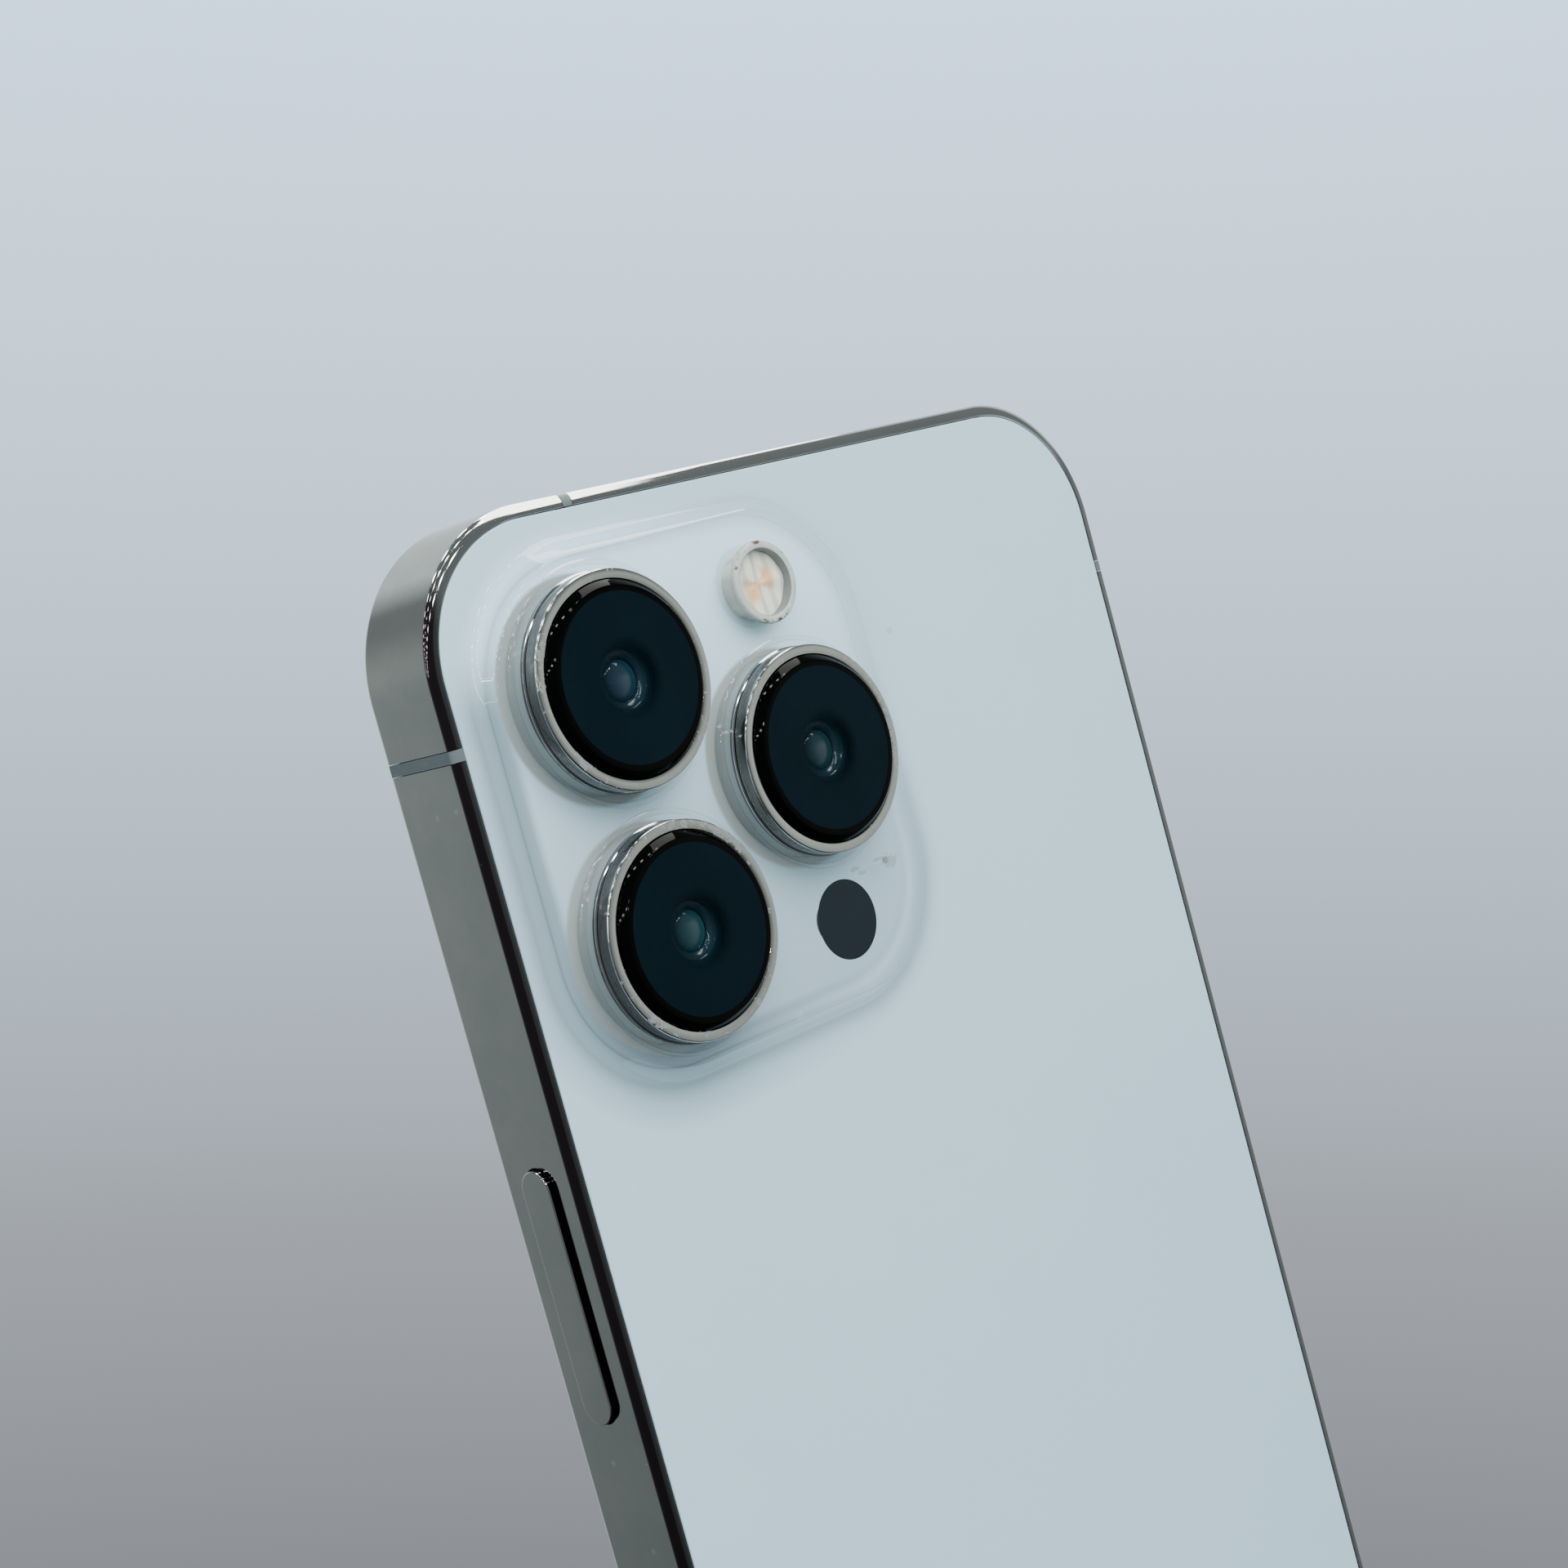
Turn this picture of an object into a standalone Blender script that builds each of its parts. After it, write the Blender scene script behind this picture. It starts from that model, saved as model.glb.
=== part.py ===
"""A flat-sided smartphone with three rear cameras, standing on its bottom edge.

The display faces -Y, the rear glass and the cameras face +Y, and +Z runs up the phone's length. The origin
is under the middle of the phone's box, on the surface it stands on. Lengths are written in millimetres and
turned into metres by point() and by MM. A place on the phone is given as it is measured on the bench:

    across  from the long edge that carries the side button (+X), towards the volume buttons (-X)
    down    from the top edge
    deep    from the outer face of the display towards the rear
"""

import math

import bmesh
import bpy
from mathutils import Vector

MM = 0.001

# Body
WIDTH = 71.5
HEIGHT = 146.7
THICKNESS = 7.65
CORNER_RADIUS = 11.0
CORNER_STEPS = 9
EDGE_ROUNDING = 0.45
BAND_LIP = 0.95
BAND_WALL = 2.4
GAP = 0.1
SEAM = 0.05
MIDDLE = WIDTH / 2
MID_DEPTH = THICKNESS / 2

# Glass and plates
GLASS_THICKNESS = 0.75
FRONT_SHELF = 1.2
REAR_SHELF = 6.8
PLATE_THICKNESS = 0.55

# Camera plateau, above the rear glass
PLATEAU_RISE = 1.75
PLATEAU_ACROSS = (2.4, 41.0)
PLATEAU_DOWN = (2.7, 42.4)
PLATEAU_RADIUS = 11.0
PLATEAU_FLANK = 1.7
FLANK_STEPS = 5

# Cameras
MAIN_LENS = (13.4, 31.6)
TELE_LENS = (30.1, 22.5)
WIDE_LENS = (13.4, 13.6)
LENSES = {"main": MAIN_LENS, "tele": TELE_LENS, "wide": WIDE_LENS}
RING_RADIUS = 7.78
RING_BORE = 7.05
RING_RISE = 3.44
STEM_RADIUS = 7.0
STEM_BORE = 6.0
COVER_RISE = 4.0
COVER_RADIUS = 6.95
COVER_FACE_RADIUS = 6.4
HOUSING_SIDE = 15.4
BARREL_RADIUS = 4.5
FLASH = (30.1, 9.6)
FLASH_RADIUS = 3.12
FLASH_RISE = 2.16
DEPTH_SENSOR = (29.6, 35.3)
DEPTH_WINDOW_RADIUS = 3.0
REAR_MICROPHONE = (35.2, 32.2)
MICROPHONE_RADIUS = 0.45

# Antenna breaks
BREAK_WIDTH = 0.94
TOP_BREAK = 15.0
UPPER_BREAK = 15.04
LOWER_BREAK = 130.7
BOTTOM_BREAK = 55.6

# Buttons, switch and tray
BUTTON_PROUD = 0.45
BUTTON_WIDTH = 3.0
BUTTON_DEPTH = 2.45
BUTTON_EDGE = 0.22
SIDE_BUTTON_DOWN = (44.05, 62.33)
VOLUME_UP_DOWN = (40.6, 50.6)
VOLUME_DOWN_DOWN = (53.0, 63.0)
SWITCH_DOWN = (29.9, 35.7)
SWITCH_WIDTH = 1.9
SWITCH_CORNER = 0.7
SWITCH_TRAVEL = 1.2
TRAY_DOWN = (71.3, 86.7)
TRAY_FACE_WIDTH = 2.3
TRAY_REACH = 20.0
TRAY_THICKNESS = 0.7
EJECT_HOLE_DOWN = 88.9

# Bottom edge
PORT_WIDTH = 8.4
PORT_HEIGHT = 2.6
SCREW_OFFSET = 8.0
SCREW_RADIUS = 0.8
GRILLE_RADIUS = 0.75
GRILLE_PITCH = 2.4
GRILLE_START = 12.6
SPEAKER_HOLES = 6
MICROPHONE_HOLES = 3

# Wireless charging
COIL_DOWN = 75.0
COIL_RADII = (9.5, 21.0)
MAGNET_RADII = (23.4, 27.6)

FRONT_FACE = -(THICKNESS + COVER_RISE) / 2

for leftover in list(bpy.data.objects):
    bpy.data.objects.remove(leftover, do_unlink=True)

phone_parts = bpy.data.collections.new("smartphone")
cutter_parts = bpy.data.collections.new("cutters")
bpy.context.scene.collection.children.link(phone_parts)
bpy.context.scene.collection.children.link(cutter_parts)


def material(name, colour, roughness, metallic=0.0):
    finish = bpy.data.materials.new(name)
    finish.use_nodes = True
    shader = finish.node_tree.nodes["Principled BSDF"]
    shader.inputs["Base Color"].default_value = (*colour, 1.0)
    shader.inputs["Roughness"].default_value = roughness
    shader.inputs["Metallic"].default_value = metallic
    finish.diffuse_color = (*colour, 1.0)
    return finish


STEEL = material("polished_steel", (0.62, 0.62, 0.60), 0.12, 1.0)
INNER_STEEL = material("inner_steel", (0.45, 0.45, 0.45), 0.4, 1.0)
BREAK_PLASTIC = material("break_plastic", (0.42, 0.43, 0.43), 0.45)
WHITE_GLASS = material("white_glass", (0.72, 0.76, 0.78), 0.3)
BLACK_GLASS = material("black_glass", (0.01, 0.012, 0.014), 0.06)
CLEAR_GLASS = material("clear_glass", (0.9, 0.9, 0.86), 0.05)
BLACK_PLASTIC = material("black_plastic", (0.02, 0.02, 0.02), 0.5)
BOARD = material("board", (0.02, 0.05, 0.04), 0.5)
CELL = material("battery_wrap", (0.03, 0.03, 0.035), 0.55)
COPPER = material("copper", (0.7, 0.35, 0.2), 0.35, 1.0)
MAGNET = material("magnet", (0.35, 0.35, 0.36), 0.35, 1.0)
MESH = material("speaker_mesh", (0.03, 0.03, 0.03), 0.6, 0.5)
GOLD = material("contacts", (0.8, 0.6, 0.25), 0.3, 1.0)
LED = material("flash_emitter", (0.85, 0.6, 0.3), 0.5)


def point(across, down, deep):
    """The place in the scene, in metres."""
    return Vector((WIDTH / 2 - across, FRONT_FACE + deep, HEIGHT - down)) * MM


def add(name, mesh_data, finish, location, rotation=(0.0, 0.0, 0.0)):
    """Puts a mesh in the phone's collection, or with no finish among the cutters."""
    obj = bpy.data.objects.new(name, mesh_data)
    obj.location = location
    obj.rotation_euler = rotation
    if finish is None:
        obj.hide_render = True
        obj.display_type = "WIRE"
        cutter_parts.objects.link(obj)
    else:
        obj.data.materials.append(finish)
        phone_parts.objects.link(obj)
    return obj


def finish_mesh(name, working, smooth):
    data = bpy.data.meshes.new(name)
    working.to_mesh(data)
    working.free()
    if smooth:
        data.shade_smooth()
        data.set_sharp_from_angle(angle=math.radians(35))
    return data


def block(name, finish, across, down, deep, corner=0.0, along="Y", edge=0.0, steps=5):
    """A box, with the four edges that run along one axis rounded to `corner` and the rest to `edge`."""
    size = Vector((across[1] - across[0], deep[1] - deep[0], down[1] - down[0])) * MM
    working = bmesh.new()
    bmesh.ops.create_cube(working, size=1.0)
    bmesh.ops.scale(working, vec=size, verts=working.verts)
    if corner:
        axis = "XYZ".index(along)
        runs = [e for e in working.edges if abs(e.verts[0].co[axis] - e.verts[1].co[axis]) > size[axis] / 2]
        bmesh.ops.bevel(working, geom=runs, offset=corner * MM, segments=steps, profile=0.5, affect="EDGES")
    middle = point(sum(across) / 2, sum(down) / 2, sum(deep) / 2)
    obj = add(name, finish_mesh(name, working, corner > 0), finish, middle)
    if edge:
        round_edges(obj, edge)
    return obj


def round_edges(obj, width, segments=2):
    rounding = obj.modifiers.new("rounded_edges", "BEVEL")
    rounding.width = width * MM
    rounding.segments = segments
    rounding.limit_method = "ANGLE"
    rounding.angle_limit = math.radians(40)


def cylinder(name, finish, across, down, deep, radius, along="Y", steps=24):
    """A round bar along one axis: the place along that axis is a pair, from one end to the other."""
    spans = {"X": across, "Y": deep, "Z": down}
    start, stop = spans[along]
    middle = {"X": across, "Y": deep, "Z": down, along: (start + stop) / 2}
    turn = {"X": (0, math.pi / 2, 0), "Y": (math.pi / 2, 0, 0), "Z": (0, 0, 0)}[along]
    working = bmesh.new()
    bmesh.ops.create_cone(
        working, cap_ends=True, segments=steps, radius1=radius * MM, radius2=radius * MM, depth=(stop - start) * MM
    )
    place = point(middle["X"], middle["Z"], middle["Y"])
    return add(name, finish_mesh(name, working, True), finish, place, turn)


def turned(name, finish, place, profile, steps=32, ring=False):
    """A turned shape on an axis along Y. The profile is (radius, depth) points down its outer side."""
    working = bmesh.new()
    rim = [working.verts.new((radius * MM, 0.0, deep * MM)) for radius, deep in profile]
    for first, second in zip(rim, rim[1:]):
        working.edges.new((first, second))
    if ring:
        working.edges.new((rim[-1], rim[0]))
    data = bpy.data.meshes.new(name)
    working.to_mesh(data)
    working.free()
    obj = add(name, data, finish, point(place[0], place[1], 0.0), (-math.pi / 2, 0.0, 0.0))
    screw = obj.modifiers.new("turn", "SCREW")
    screw.steps = steps
    screw.render_steps = steps
    screw.use_merge_vertices = True
    screw.merge_threshold = 0.000001
    screw.use_smooth_shade = True
    return obj


def boolean(obj, other, operation="DIFFERENCE"):
    step = obj.modifiers.new(other.name, "BOOLEAN")
    step.operation = operation
    step.object = other
    step.solver = "EXACT"
    return obj


def inset_block(name, finish, inset, deep, edge=0.0):
    """A plate with the body's own outline, drawn in from it by `inset` all round."""
    return block(
        name,
        finish,
        (inset, WIDTH - inset),
        (inset, HEIGHT - inset),
        deep,
        corner=CORNER_RADIUS - inset,
        edge=edge,
        steps=CORNER_STEPS,
    )


# ---------------------------------------------------------------- steel band


def band_cutters():
    """The two glass recesses and the hollow inside, which every segment of the band shares."""
    return (
        inset_block("cut_display_recess", None, BAND_LIP, (-1.0, FRONT_SHELF)),
        inset_block("cut_inside", None, BAND_WALL, (0.5, THICKNESS - 0.5)),
        inset_block("cut_rear_recess", None, BAND_LIP, (REAR_SHELF, THICKNESS + 1.0)),
    )


def band_piece(name, finish, cutters, across, down):
    """The part of the band that lies inside one rectangle, seen from the back."""
    piece = inset_block(name, finish, 0.0, (0.0, THICKNESS), edge=EDGE_ROUNDING)
    for cutter in cutters:
        boolean(piece, cutter)
    region = block("keep_" + name, None, across, down, (-2.0, THICKNESS + 2.0))
    return boolean(piece, region, "INTERSECT")


def steel_band():
    """Six steel segments, with a moulded antenna break between each two."""
    cutters = band_cutters()
    outside = 5.0
    top_end = TOP_BREAK + BREAK_WIDTH
    upper_end = UPPER_BREAK + BREAK_WIDTH
    lower_end = LOWER_BREAK + BREAK_WIDTH
    bottom_end = BOTTOM_BREAK + BREAK_WIDTH
    left, right = -outside, WIDTH + outside
    top, bottom = -outside, HEIGHT + outside
    segments = {
        "band_corner": ((left, TOP_BREAK), (top, UPPER_BREAK)),
        "band_top": ((top_end, right), (top, UPPER_BREAK)),
        "band_button_side": ((left, MIDDLE), (upper_end, LOWER_BREAK)),
        "band_volume_side": ((MIDDLE, right), (upper_end, LOWER_BREAK)),
        "band_bottom": ((left, BOTTOM_BREAK), (lower_end, bottom)),
        "band_bottom_corner": ((bottom_end, right), (lower_end, bottom)),
    }
    inner = (SEAM, -SEAM)
    breaks = {
        "antenna_break_top": ((TOP_BREAK + inner[0], top_end + inner[1]), (top, MIDDLE)),
        "antenna_break_upper_button_side": ((left, MIDDLE), (UPPER_BREAK + inner[0], upper_end + inner[1])),
        "antenna_break_upper_volume_side": ((MIDDLE, right), (UPPER_BREAK + inner[0], upper_end + inner[1])),
        "antenna_break_lower_button_side": ((left, MIDDLE), (LOWER_BREAK + inner[0], lower_end + inner[1])),
        "antenna_break_lower_volume_side": ((MIDDLE, right), (LOWER_BREAK + inner[0], lower_end + inner[1])),
        "antenna_break_bottom": ((BOTTOM_BREAK + inner[0], bottom_end + inner[1]), (HEIGHT - MIDDLE, bottom)),
    }
    made = {name: band_piece(name, STEEL, cutters, *span) for name, span in segments.items()}
    for name, span in breaks.items():
        band_piece(name, BREAK_PLASTIC, cutters, *span)
    return made


def side_slot(name, across, down, width, corner=None):
    """A slot through one long side, `width` wide in the phone's thickness. With no corner its ends are round."""
    half = width / 2 + GAP
    corner = corner or half - 0.01
    span = (down[0] - GAP, down[1] + GAP)
    return block(name, None, across, span, (MID_DEPTH - half, MID_DEPTH + half), corner, along="X", steps=8)


def side_openings(band):
    near, far = (-3.0, BAND_WALL + 2.0), (WIDTH - BAND_WALL - 2.0, WIDTH + 3.0)
    boolean(band["band_button_side"], side_slot("cut_side_button", near, SIDE_BUTTON_DOWN, BUTTON_WIDTH))
    volume_side = band["band_volume_side"]
    boolean(volume_side, side_slot("cut_volume_up", far, VOLUME_UP_DOWN, BUTTON_WIDTH))
    boolean(volume_side, side_slot("cut_volume_down", far, VOLUME_DOWN_DOWN, BUTTON_WIDTH))
    switch_room = SWITCH_WIDTH + SWITCH_TRAVEL
    boolean(volume_side, side_slot("cut_mute_switch", far, SWITCH_DOWN, switch_room, SWITCH_CORNER + GAP))
    boolean(volume_side, side_slot("cut_sim_tray", far, TRAY_DOWN, TRAY_FACE_WIDTH))
    pin = cylinder("cut_eject_hole", None, far, EJECT_HOLE_DOWN, MID_DEPTH, 0.45, along="X", steps=12)
    boolean(volume_side, pin)


def bottom_openings(band):
    through = (HEIGHT - BAND_WALL - 1.0, HEIGHT + 1.0)
    half_width, half_height = PORT_WIDTH / 2 + GAP, PORT_HEIGHT / 2 + GAP
    mouth = block(
        "cut_port_mouth",
        None,
        (MIDDLE - half_width, MIDDLE + half_width),
        through,
        (MID_DEPTH - half_height, MID_DEPTH + half_height),
        corner=half_height - 0.01,
        along="Z",
        steps=8,
    )
    boolean(band["band_bottom"], mouth)
    holes = [(MIDDLE + side * SCREW_OFFSET, SCREW_RADIUS + GAP) for side in (-1, 1)]
    holes += [(MIDDLE - GRILLE_START - GRILLE_PITCH * i, GRILLE_RADIUS) for i in range(SPEAKER_HOLES)]
    holes += [(MIDDLE + GRILLE_START + GRILLE_PITCH * i, GRILLE_RADIUS) for i in range(MICROPHONE_HOLES)]
    for number, (across, radius) in enumerate(holes):
        hole = cylinder(f"cut_bottom_hole_{number}", None, across, through, MID_DEPTH, radius, along="Z", steps=12)
        boolean(band["band_bottom"], hole)


# ---------------------------------------------------------------- rear glass


def smooth_rise(t):
    """How far a flank has risen at `t` of its width: it leaves the flat and meets the top softly."""
    return t * t * (3.0 - 2.0 * t)


def plateau():
    """The raised part of the rear glass: a rounded block whose top is drawn in as it rises."""
    foot = THICKNESS - 0.3
    shape = block(
        "join_plateau", None, PLATEAU_ACROSS, PLATEAU_DOWN, (foot, THICKNESS), PLATEAU_RADIUS, steps=CORNER_STEPS
    )
    working = bmesh.new()
    working.from_mesh(shape.data)
    top = [face for face in working.faces if face.normal.y > 0.9]
    risen = 0.0
    for step in range(1, FLANK_STEPS + 1):
        rise = PLATEAU_RISE * smooth_rise(step / FLANK_STEPS)
        bmesh.ops.inset_region(
            working, faces=top, thickness=PLATEAU_FLANK / FLANK_STEPS * MM, depth=0.0, use_even_offset=True
        )
        corners = {corner for face in top for corner in face.verts}
        bmesh.ops.translate(working, verts=list(corners), vec=(0.0, (rise - risen) * MM, 0.0))
        risen = rise
    working.to_mesh(shape.data)
    working.free()
    return shape


def rear_glass():
    glass = inset_block("rear_glass", WHITE_GLASS, BAND_LIP + GAP, (REAR_SHELF + GAP, THICKNESS), edge=0.12)
    boolean(glass, plateau(), "UNION")
    through = (REAR_SHELF - 1.0, THICKNESS + PLATEAU_RISE + 1.0)
    holes = {name: (place, STEM_RADIUS + GAP, 32) for name, place in LENSES.items()}
    holes["flash"] = (FLASH, FLASH_RADIUS + GAP, 24)
    holes["depth_window"] = (DEPTH_SENSOR, DEPTH_WINDOW_RADIUS + GAP, 24)
    holes["microphone"] = (REAR_MICROPHONE, MICROPHONE_RADIUS + GAP, 8)
    for name, (place, radius, steps) in holes.items():
        boolean(glass, cylinder("cut_glass_" + name, None, *place, through, radius, steps=steps))


def chassis_plate():
    """The inner plate that the rear glass is bonded to, open for the cameras and the charging coil."""
    plate = inset_block("chassis_plate", INNER_STEEL, BAND_WALL + GAP, (REAR_SHELF - PLATE_THICKNESS, REAR_SHELF))
    holes = {name: (place, STEM_RADIUS + 0.35, 20) for name, place in LENSES.items()}
    holes["flash"] = (FLASH, FLASH_RADIUS, 16)
    holes["depth_sensor"] = (DEPTH_SENSOR, DEPTH_WINDOW_RADIUS, 16)
    holes["microphone"] = (REAR_MICROPHONE, MICROPHONE_RADIUS + 0.2, 8)
    holes["coil"] = ((MIDDLE, COIL_DOWN), MAGNET_RADII[1] + 0.5, 32)
    for name, (place, radius, steps) in holes.items():
        boolean(plate, cylinder("cut_plate_" + name, None, *place, (5.0, 8.0), radius, steps=steps))


# ---------------------------------------------------------------- display


def display():
    glass = inset_block("display_glass", BLACK_GLASS, BAND_LIP + GAP, (0.0, GLASS_THICKNESS), edge=0.15)
    slot = (MIDDLE - 6.0, MIDDLE + 6.0)
    boolean(glass, block("cut_earpiece_slot", None, slot, (0.0, 1.9), (-1.0, 2.0)))
    block("earpiece_mesh", MESH, (slot[0] + GAP, slot[1] - GAP), (1.1, 1.8), (0.3, GLASS_THICKNESS))

    gasket = inset_block("display_gasket", BLACK_PLASTIC, BAND_LIP + GAP, (0.85, 1.1))
    boolean(gasket, inset_block("cut_gasket", None, BAND_WALL - 0.2, (0.0, 2.0)))

    panel = inset_block("display_panel", BLACK_PLASTIC, BAND_WALL + 0.2, (0.9, 1.75))
    notch = (MIDDLE - 13.8, MIDDLE + 13.8)
    boolean(panel, block("cut_sensor_notch", None, notch, (0.0, 8.2), (0.0, 3.0), corner=2.0))


def front_sensors():
    cylinder("front_camera", BLACK_GLASS, MIDDLE + 8.0, 5.2, (0.95, 3.4), 1.9)
    block("face_sensor", BLACK_PLASTIC, (24.0, 38.4), (3.2, 7.4), (0.95, 3.4), corner=0.6)
    block("earpiece_speaker", BLACK_PLASTIC, (27.0, 43.5), (3.2, 8.6), (3.6, 5.2), corner=0.8)


# ---------------------------------------------------------------- cameras


def lens_ring(name, place):
    face = THICKNESS + RING_RISE
    foot = THICKNESS + PLATEAU_RISE + GAP
    seat = THICKNESS + 2.5
    inner_end = REAR_SHELF + 0.2
    profile = [
        (RING_RADIUS - 0.12, face),
        (RING_RADIUS, face - 0.12),
        (RING_RADIUS, foot),
        (STEM_RADIUS, foot),
        (STEM_RADIUS, inner_end),
        (STEM_BORE, inner_end),
        (STEM_BORE, seat),
        (RING_BORE, seat),
        (RING_BORE, face),
    ]
    turned(f"lens_ring_{name}", STEEL, place, profile, ring=True)


def lens_cover(name, place):
    face = THICKNESS + COVER_RISE
    seat = THICKNESS + 2.5 + GAP
    profile = [
        (0.0, face),
        (COVER_FACE_RADIUS, face),
        (COVER_RADIUS - 0.1, face - 0.25),
        (COVER_RADIUS, face - 0.45),
        (COVER_RADIUS, seat),
        (0.0, seat),
    ]
    turned(f"lens_cover_{name}", BLACK_GLASS, place, profile)


def camera_housing(name, place):
    """A square module with a round neck that reaches up inside the ring, bored for the moving barrel."""
    half = HOUSING_SIDE / 2
    across = (place[0] - half, place[0] + half)
    down = (place[1] - half, place[1] + half)
    housing = block(f"camera_housing_{name}", BLACK_PLASTIC, across, down, (2.4, 6.1), corner=0.8, steps=2)
    neck = cylinder(f"join_neck_{name}", None, *place, (5.0, 8.6), STEM_BORE - 0.3, steps=20)
    boolean(housing, neck, "UNION")
    bore = cylinder(f"cut_bore_{name}", None, *place, (2.8, 12.0), BARREL_RADIUS + 0.3, steps=20)
    boolean(housing, bore)


def lens_barrel(name, place):
    """The lens group that moves to focus."""
    profile = [
        (0.0, 9.4),
        (1.5, 9.3),
        (2.6, 9.0),
        (3.0, 9.2),
        (3.8, 9.2),
        (BARREL_RADIUS, 8.4),
        (BARREL_RADIUS, 3.0),
        (0.0, 3.0),
    ]
    turned(f"lens_barrel_{name}", BLACK_PLASTIC, place, profile, steps=20)


def cameras():
    for name, place in LENSES.items():
        lens_ring(name, place)
        lens_cover(name, place)
        camera_housing(name, place)
        lens_barrel(name, place)
    bracket = block("camera_bracket", INNER_STEEL, (5.2, 38.4), (9.5, 39.7), (1.95, 2.3), corner=1.5, steps=3)
    for name, place in LENSES.items():
        boolean(bracket, cylinder(f"cut_bracket_{name}", None, *place, (1.0, 3.0), 4.0, steps=16))


def flash():
    top = THICKNESS + FLASH_RISE
    profile = [(0.0, top), (FLASH_RADIUS - 0.12, top), (FLASH_RADIUS, top - 0.12), (FLASH_RADIUS, 8.0), (0.0, 8.0)]
    turned("flash_lens", CLEAR_GLASS, FLASH, profile, steps=24)
    cylinder("flash_module", LED, *FLASH, (5.4, 7.9), 2.6)


def depth_sensor():
    top = THICKNESS + PLATEAU_RISE
    cylinder("depth_window", BLACK_GLASS, *DEPTH_SENSOR, (8.3, top), DEPTH_WINDOW_RADIUS)
    profile = [(0.0, 8.2), (2.7, 8.2), (2.7, 6.0), (4.0, 6.0), (4.0, 2.6), (0.0, 2.6)]
    turned("depth_module", BLACK_PLASTIC, DEPTH_SENSOR, profile, steps=16)


def rear_microphone():
    top = THICKNESS + PLATEAU_RISE - 0.25
    cylinder("rear_microphone", MESH, *REAR_MICROPHONE, (6.4, top), MICROPHONE_RADIUS, steps=8)


# ---------------------------------------------------------------- buttons, switch and tray


def pressed_button(name, down, outer, inner):
    """A long button with round ends, whose outer face stands proud of the band."""
    half = BUTTON_WIDTH / 2
    across = (min(outer, inner), max(outer, inner))
    deep = (MID_DEPTH - half, MID_DEPTH + half)
    block(name, STEEL, across, down, deep, corner=half - 0.01, along="X", edge=BUTTON_EDGE, steps=8)


def buttons():
    inner = BUTTON_DEPTH - BUTTON_PROUD
    pressed_button("side_button", SIDE_BUTTON_DOWN, -BUTTON_PROUD, inner)
    pressed_button("volume_up_button", VOLUME_UP_DOWN, WIDTH + BUTTON_PROUD, WIDTH - inner)
    pressed_button("volume_down_button", VOLUME_DOWN_DOWN, WIDTH + BUTTON_PROUD, WIDTH - inner)
    block("volume_flex", COPPER, (WIDTH - 3.4, WIDTH - 2.75), (28.4, 64.5), (2.2, 5.4))


def mute_switch():
    """A lever that rests towards the display and slides towards the rear."""
    low = MID_DEPTH - (SWITCH_WIDTH + SWITCH_TRAVEL) / 2
    deep = (low, low + SWITCH_WIDTH)
    across = (WIDTH - 1.9, WIDTH + 0.3)
    block("mute_switch", STEEL, across, SWITCH_DOWN, deep, corner=SWITCH_CORNER, along="X", edge=0.12, steps=4)


def sim_tray():
    half = TRAY_FACE_WIDTH / 2
    face = block(
        "sim_tray",
        STEEL,
        (WIDTH - 1.5, WIDTH),
        TRAY_DOWN,
        (MID_DEPTH - half, MID_DEPTH + half),
        corner=half - 0.01,
        along="X",
        steps=6,
    )
    blade_half = TRAY_THICKNESS / 2
    blade = block(
        "join_tray_blade",
        None,
        (WIDTH - TRAY_REACH, WIDTH - 1.0),
        (TRAY_DOWN[0] + 0.7, TRAY_DOWN[1] - 0.7),
        (MID_DEPTH - blade_half, MID_DEPTH + blade_half),
        corner=1.0,
        steps=3,
    )
    boolean(face, blade, "UNION")
    pocket = ((WIDTH - TRAY_REACH + 1.5, WIDTH - TRAY_REACH + 13.8), (TRAY_DOWN[0] + 3.0, TRAY_DOWN[0] + 11.8))
    boolean(face, block("cut_card_pocket", None, *pocket, (2.0, 6.0), corner=0.8, steps=2))

    across = (WIDTH - TRAY_REACH - 1.4, WIDTH - BAND_WALL - 0.2)
    reader = block("sim_reader", INNER_STEEL, across, (70.6, 87.4), (2.6, 5.1))
    tunnel = (MID_DEPTH - 0.6, MID_DEPTH + 0.6)
    opening = (TRAY_DOWN[0] + 0.5, TRAY_DOWN[1] - 0.5)
    boolean(reader, block("cut_reader_tunnel", None, (across[0] + 1.1, WIDTH), opening, tunnel))


# ---------------------------------------------------------------- bottom edge


def charging_port():
    """A socket behind the mouth in the band, with its row of contacts."""
    half_width, half_height = PORT_WIDTH / 2, PORT_HEIGHT / 2
    wall = 0.6
    end = HEIGHT - BAND_WALL - GAP
    across = (MIDDLE - half_width - wall, MIDDLE + half_width + wall)
    deep = (MID_DEPTH - half_height - wall, MID_DEPTH + half_height + wall)
    shell = block("charging_port", INNER_STEEL, across, (end - 7.4, end), deep, corner=0.8, along="Z", steps=3)
    cavity = block(
        "cut_port_cavity",
        None,
        (MIDDLE - half_width, MIDDLE + half_width),
        (end - 6.6, end + 2.0),
        (MID_DEPTH - half_height, MID_DEPTH + half_height),
        corner=half_height - 0.01,
        along="Z",
        steps=8,
    )
    boolean(shell, cavity)
    high = MID_DEPTH + half_height - 0.08
    block("port_contacts", GOLD, (MIDDLE - 2.9, MIDDLE + 2.9), (end - 6.2, end - 1.0), (high - 0.3, high))


def bottom_screws():
    for name, side in (("bottom_screw_speaker_side", -1), ("bottom_screw_microphone_side", 1)):
        across = MIDDLE + side * SCREW_OFFSET
        cylinder(name, STEEL, across, (HEIGHT - 4.2, HEIGHT - 0.15), MID_DEPTH, SCREW_RADIUS, along="Z", steps=16)


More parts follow.
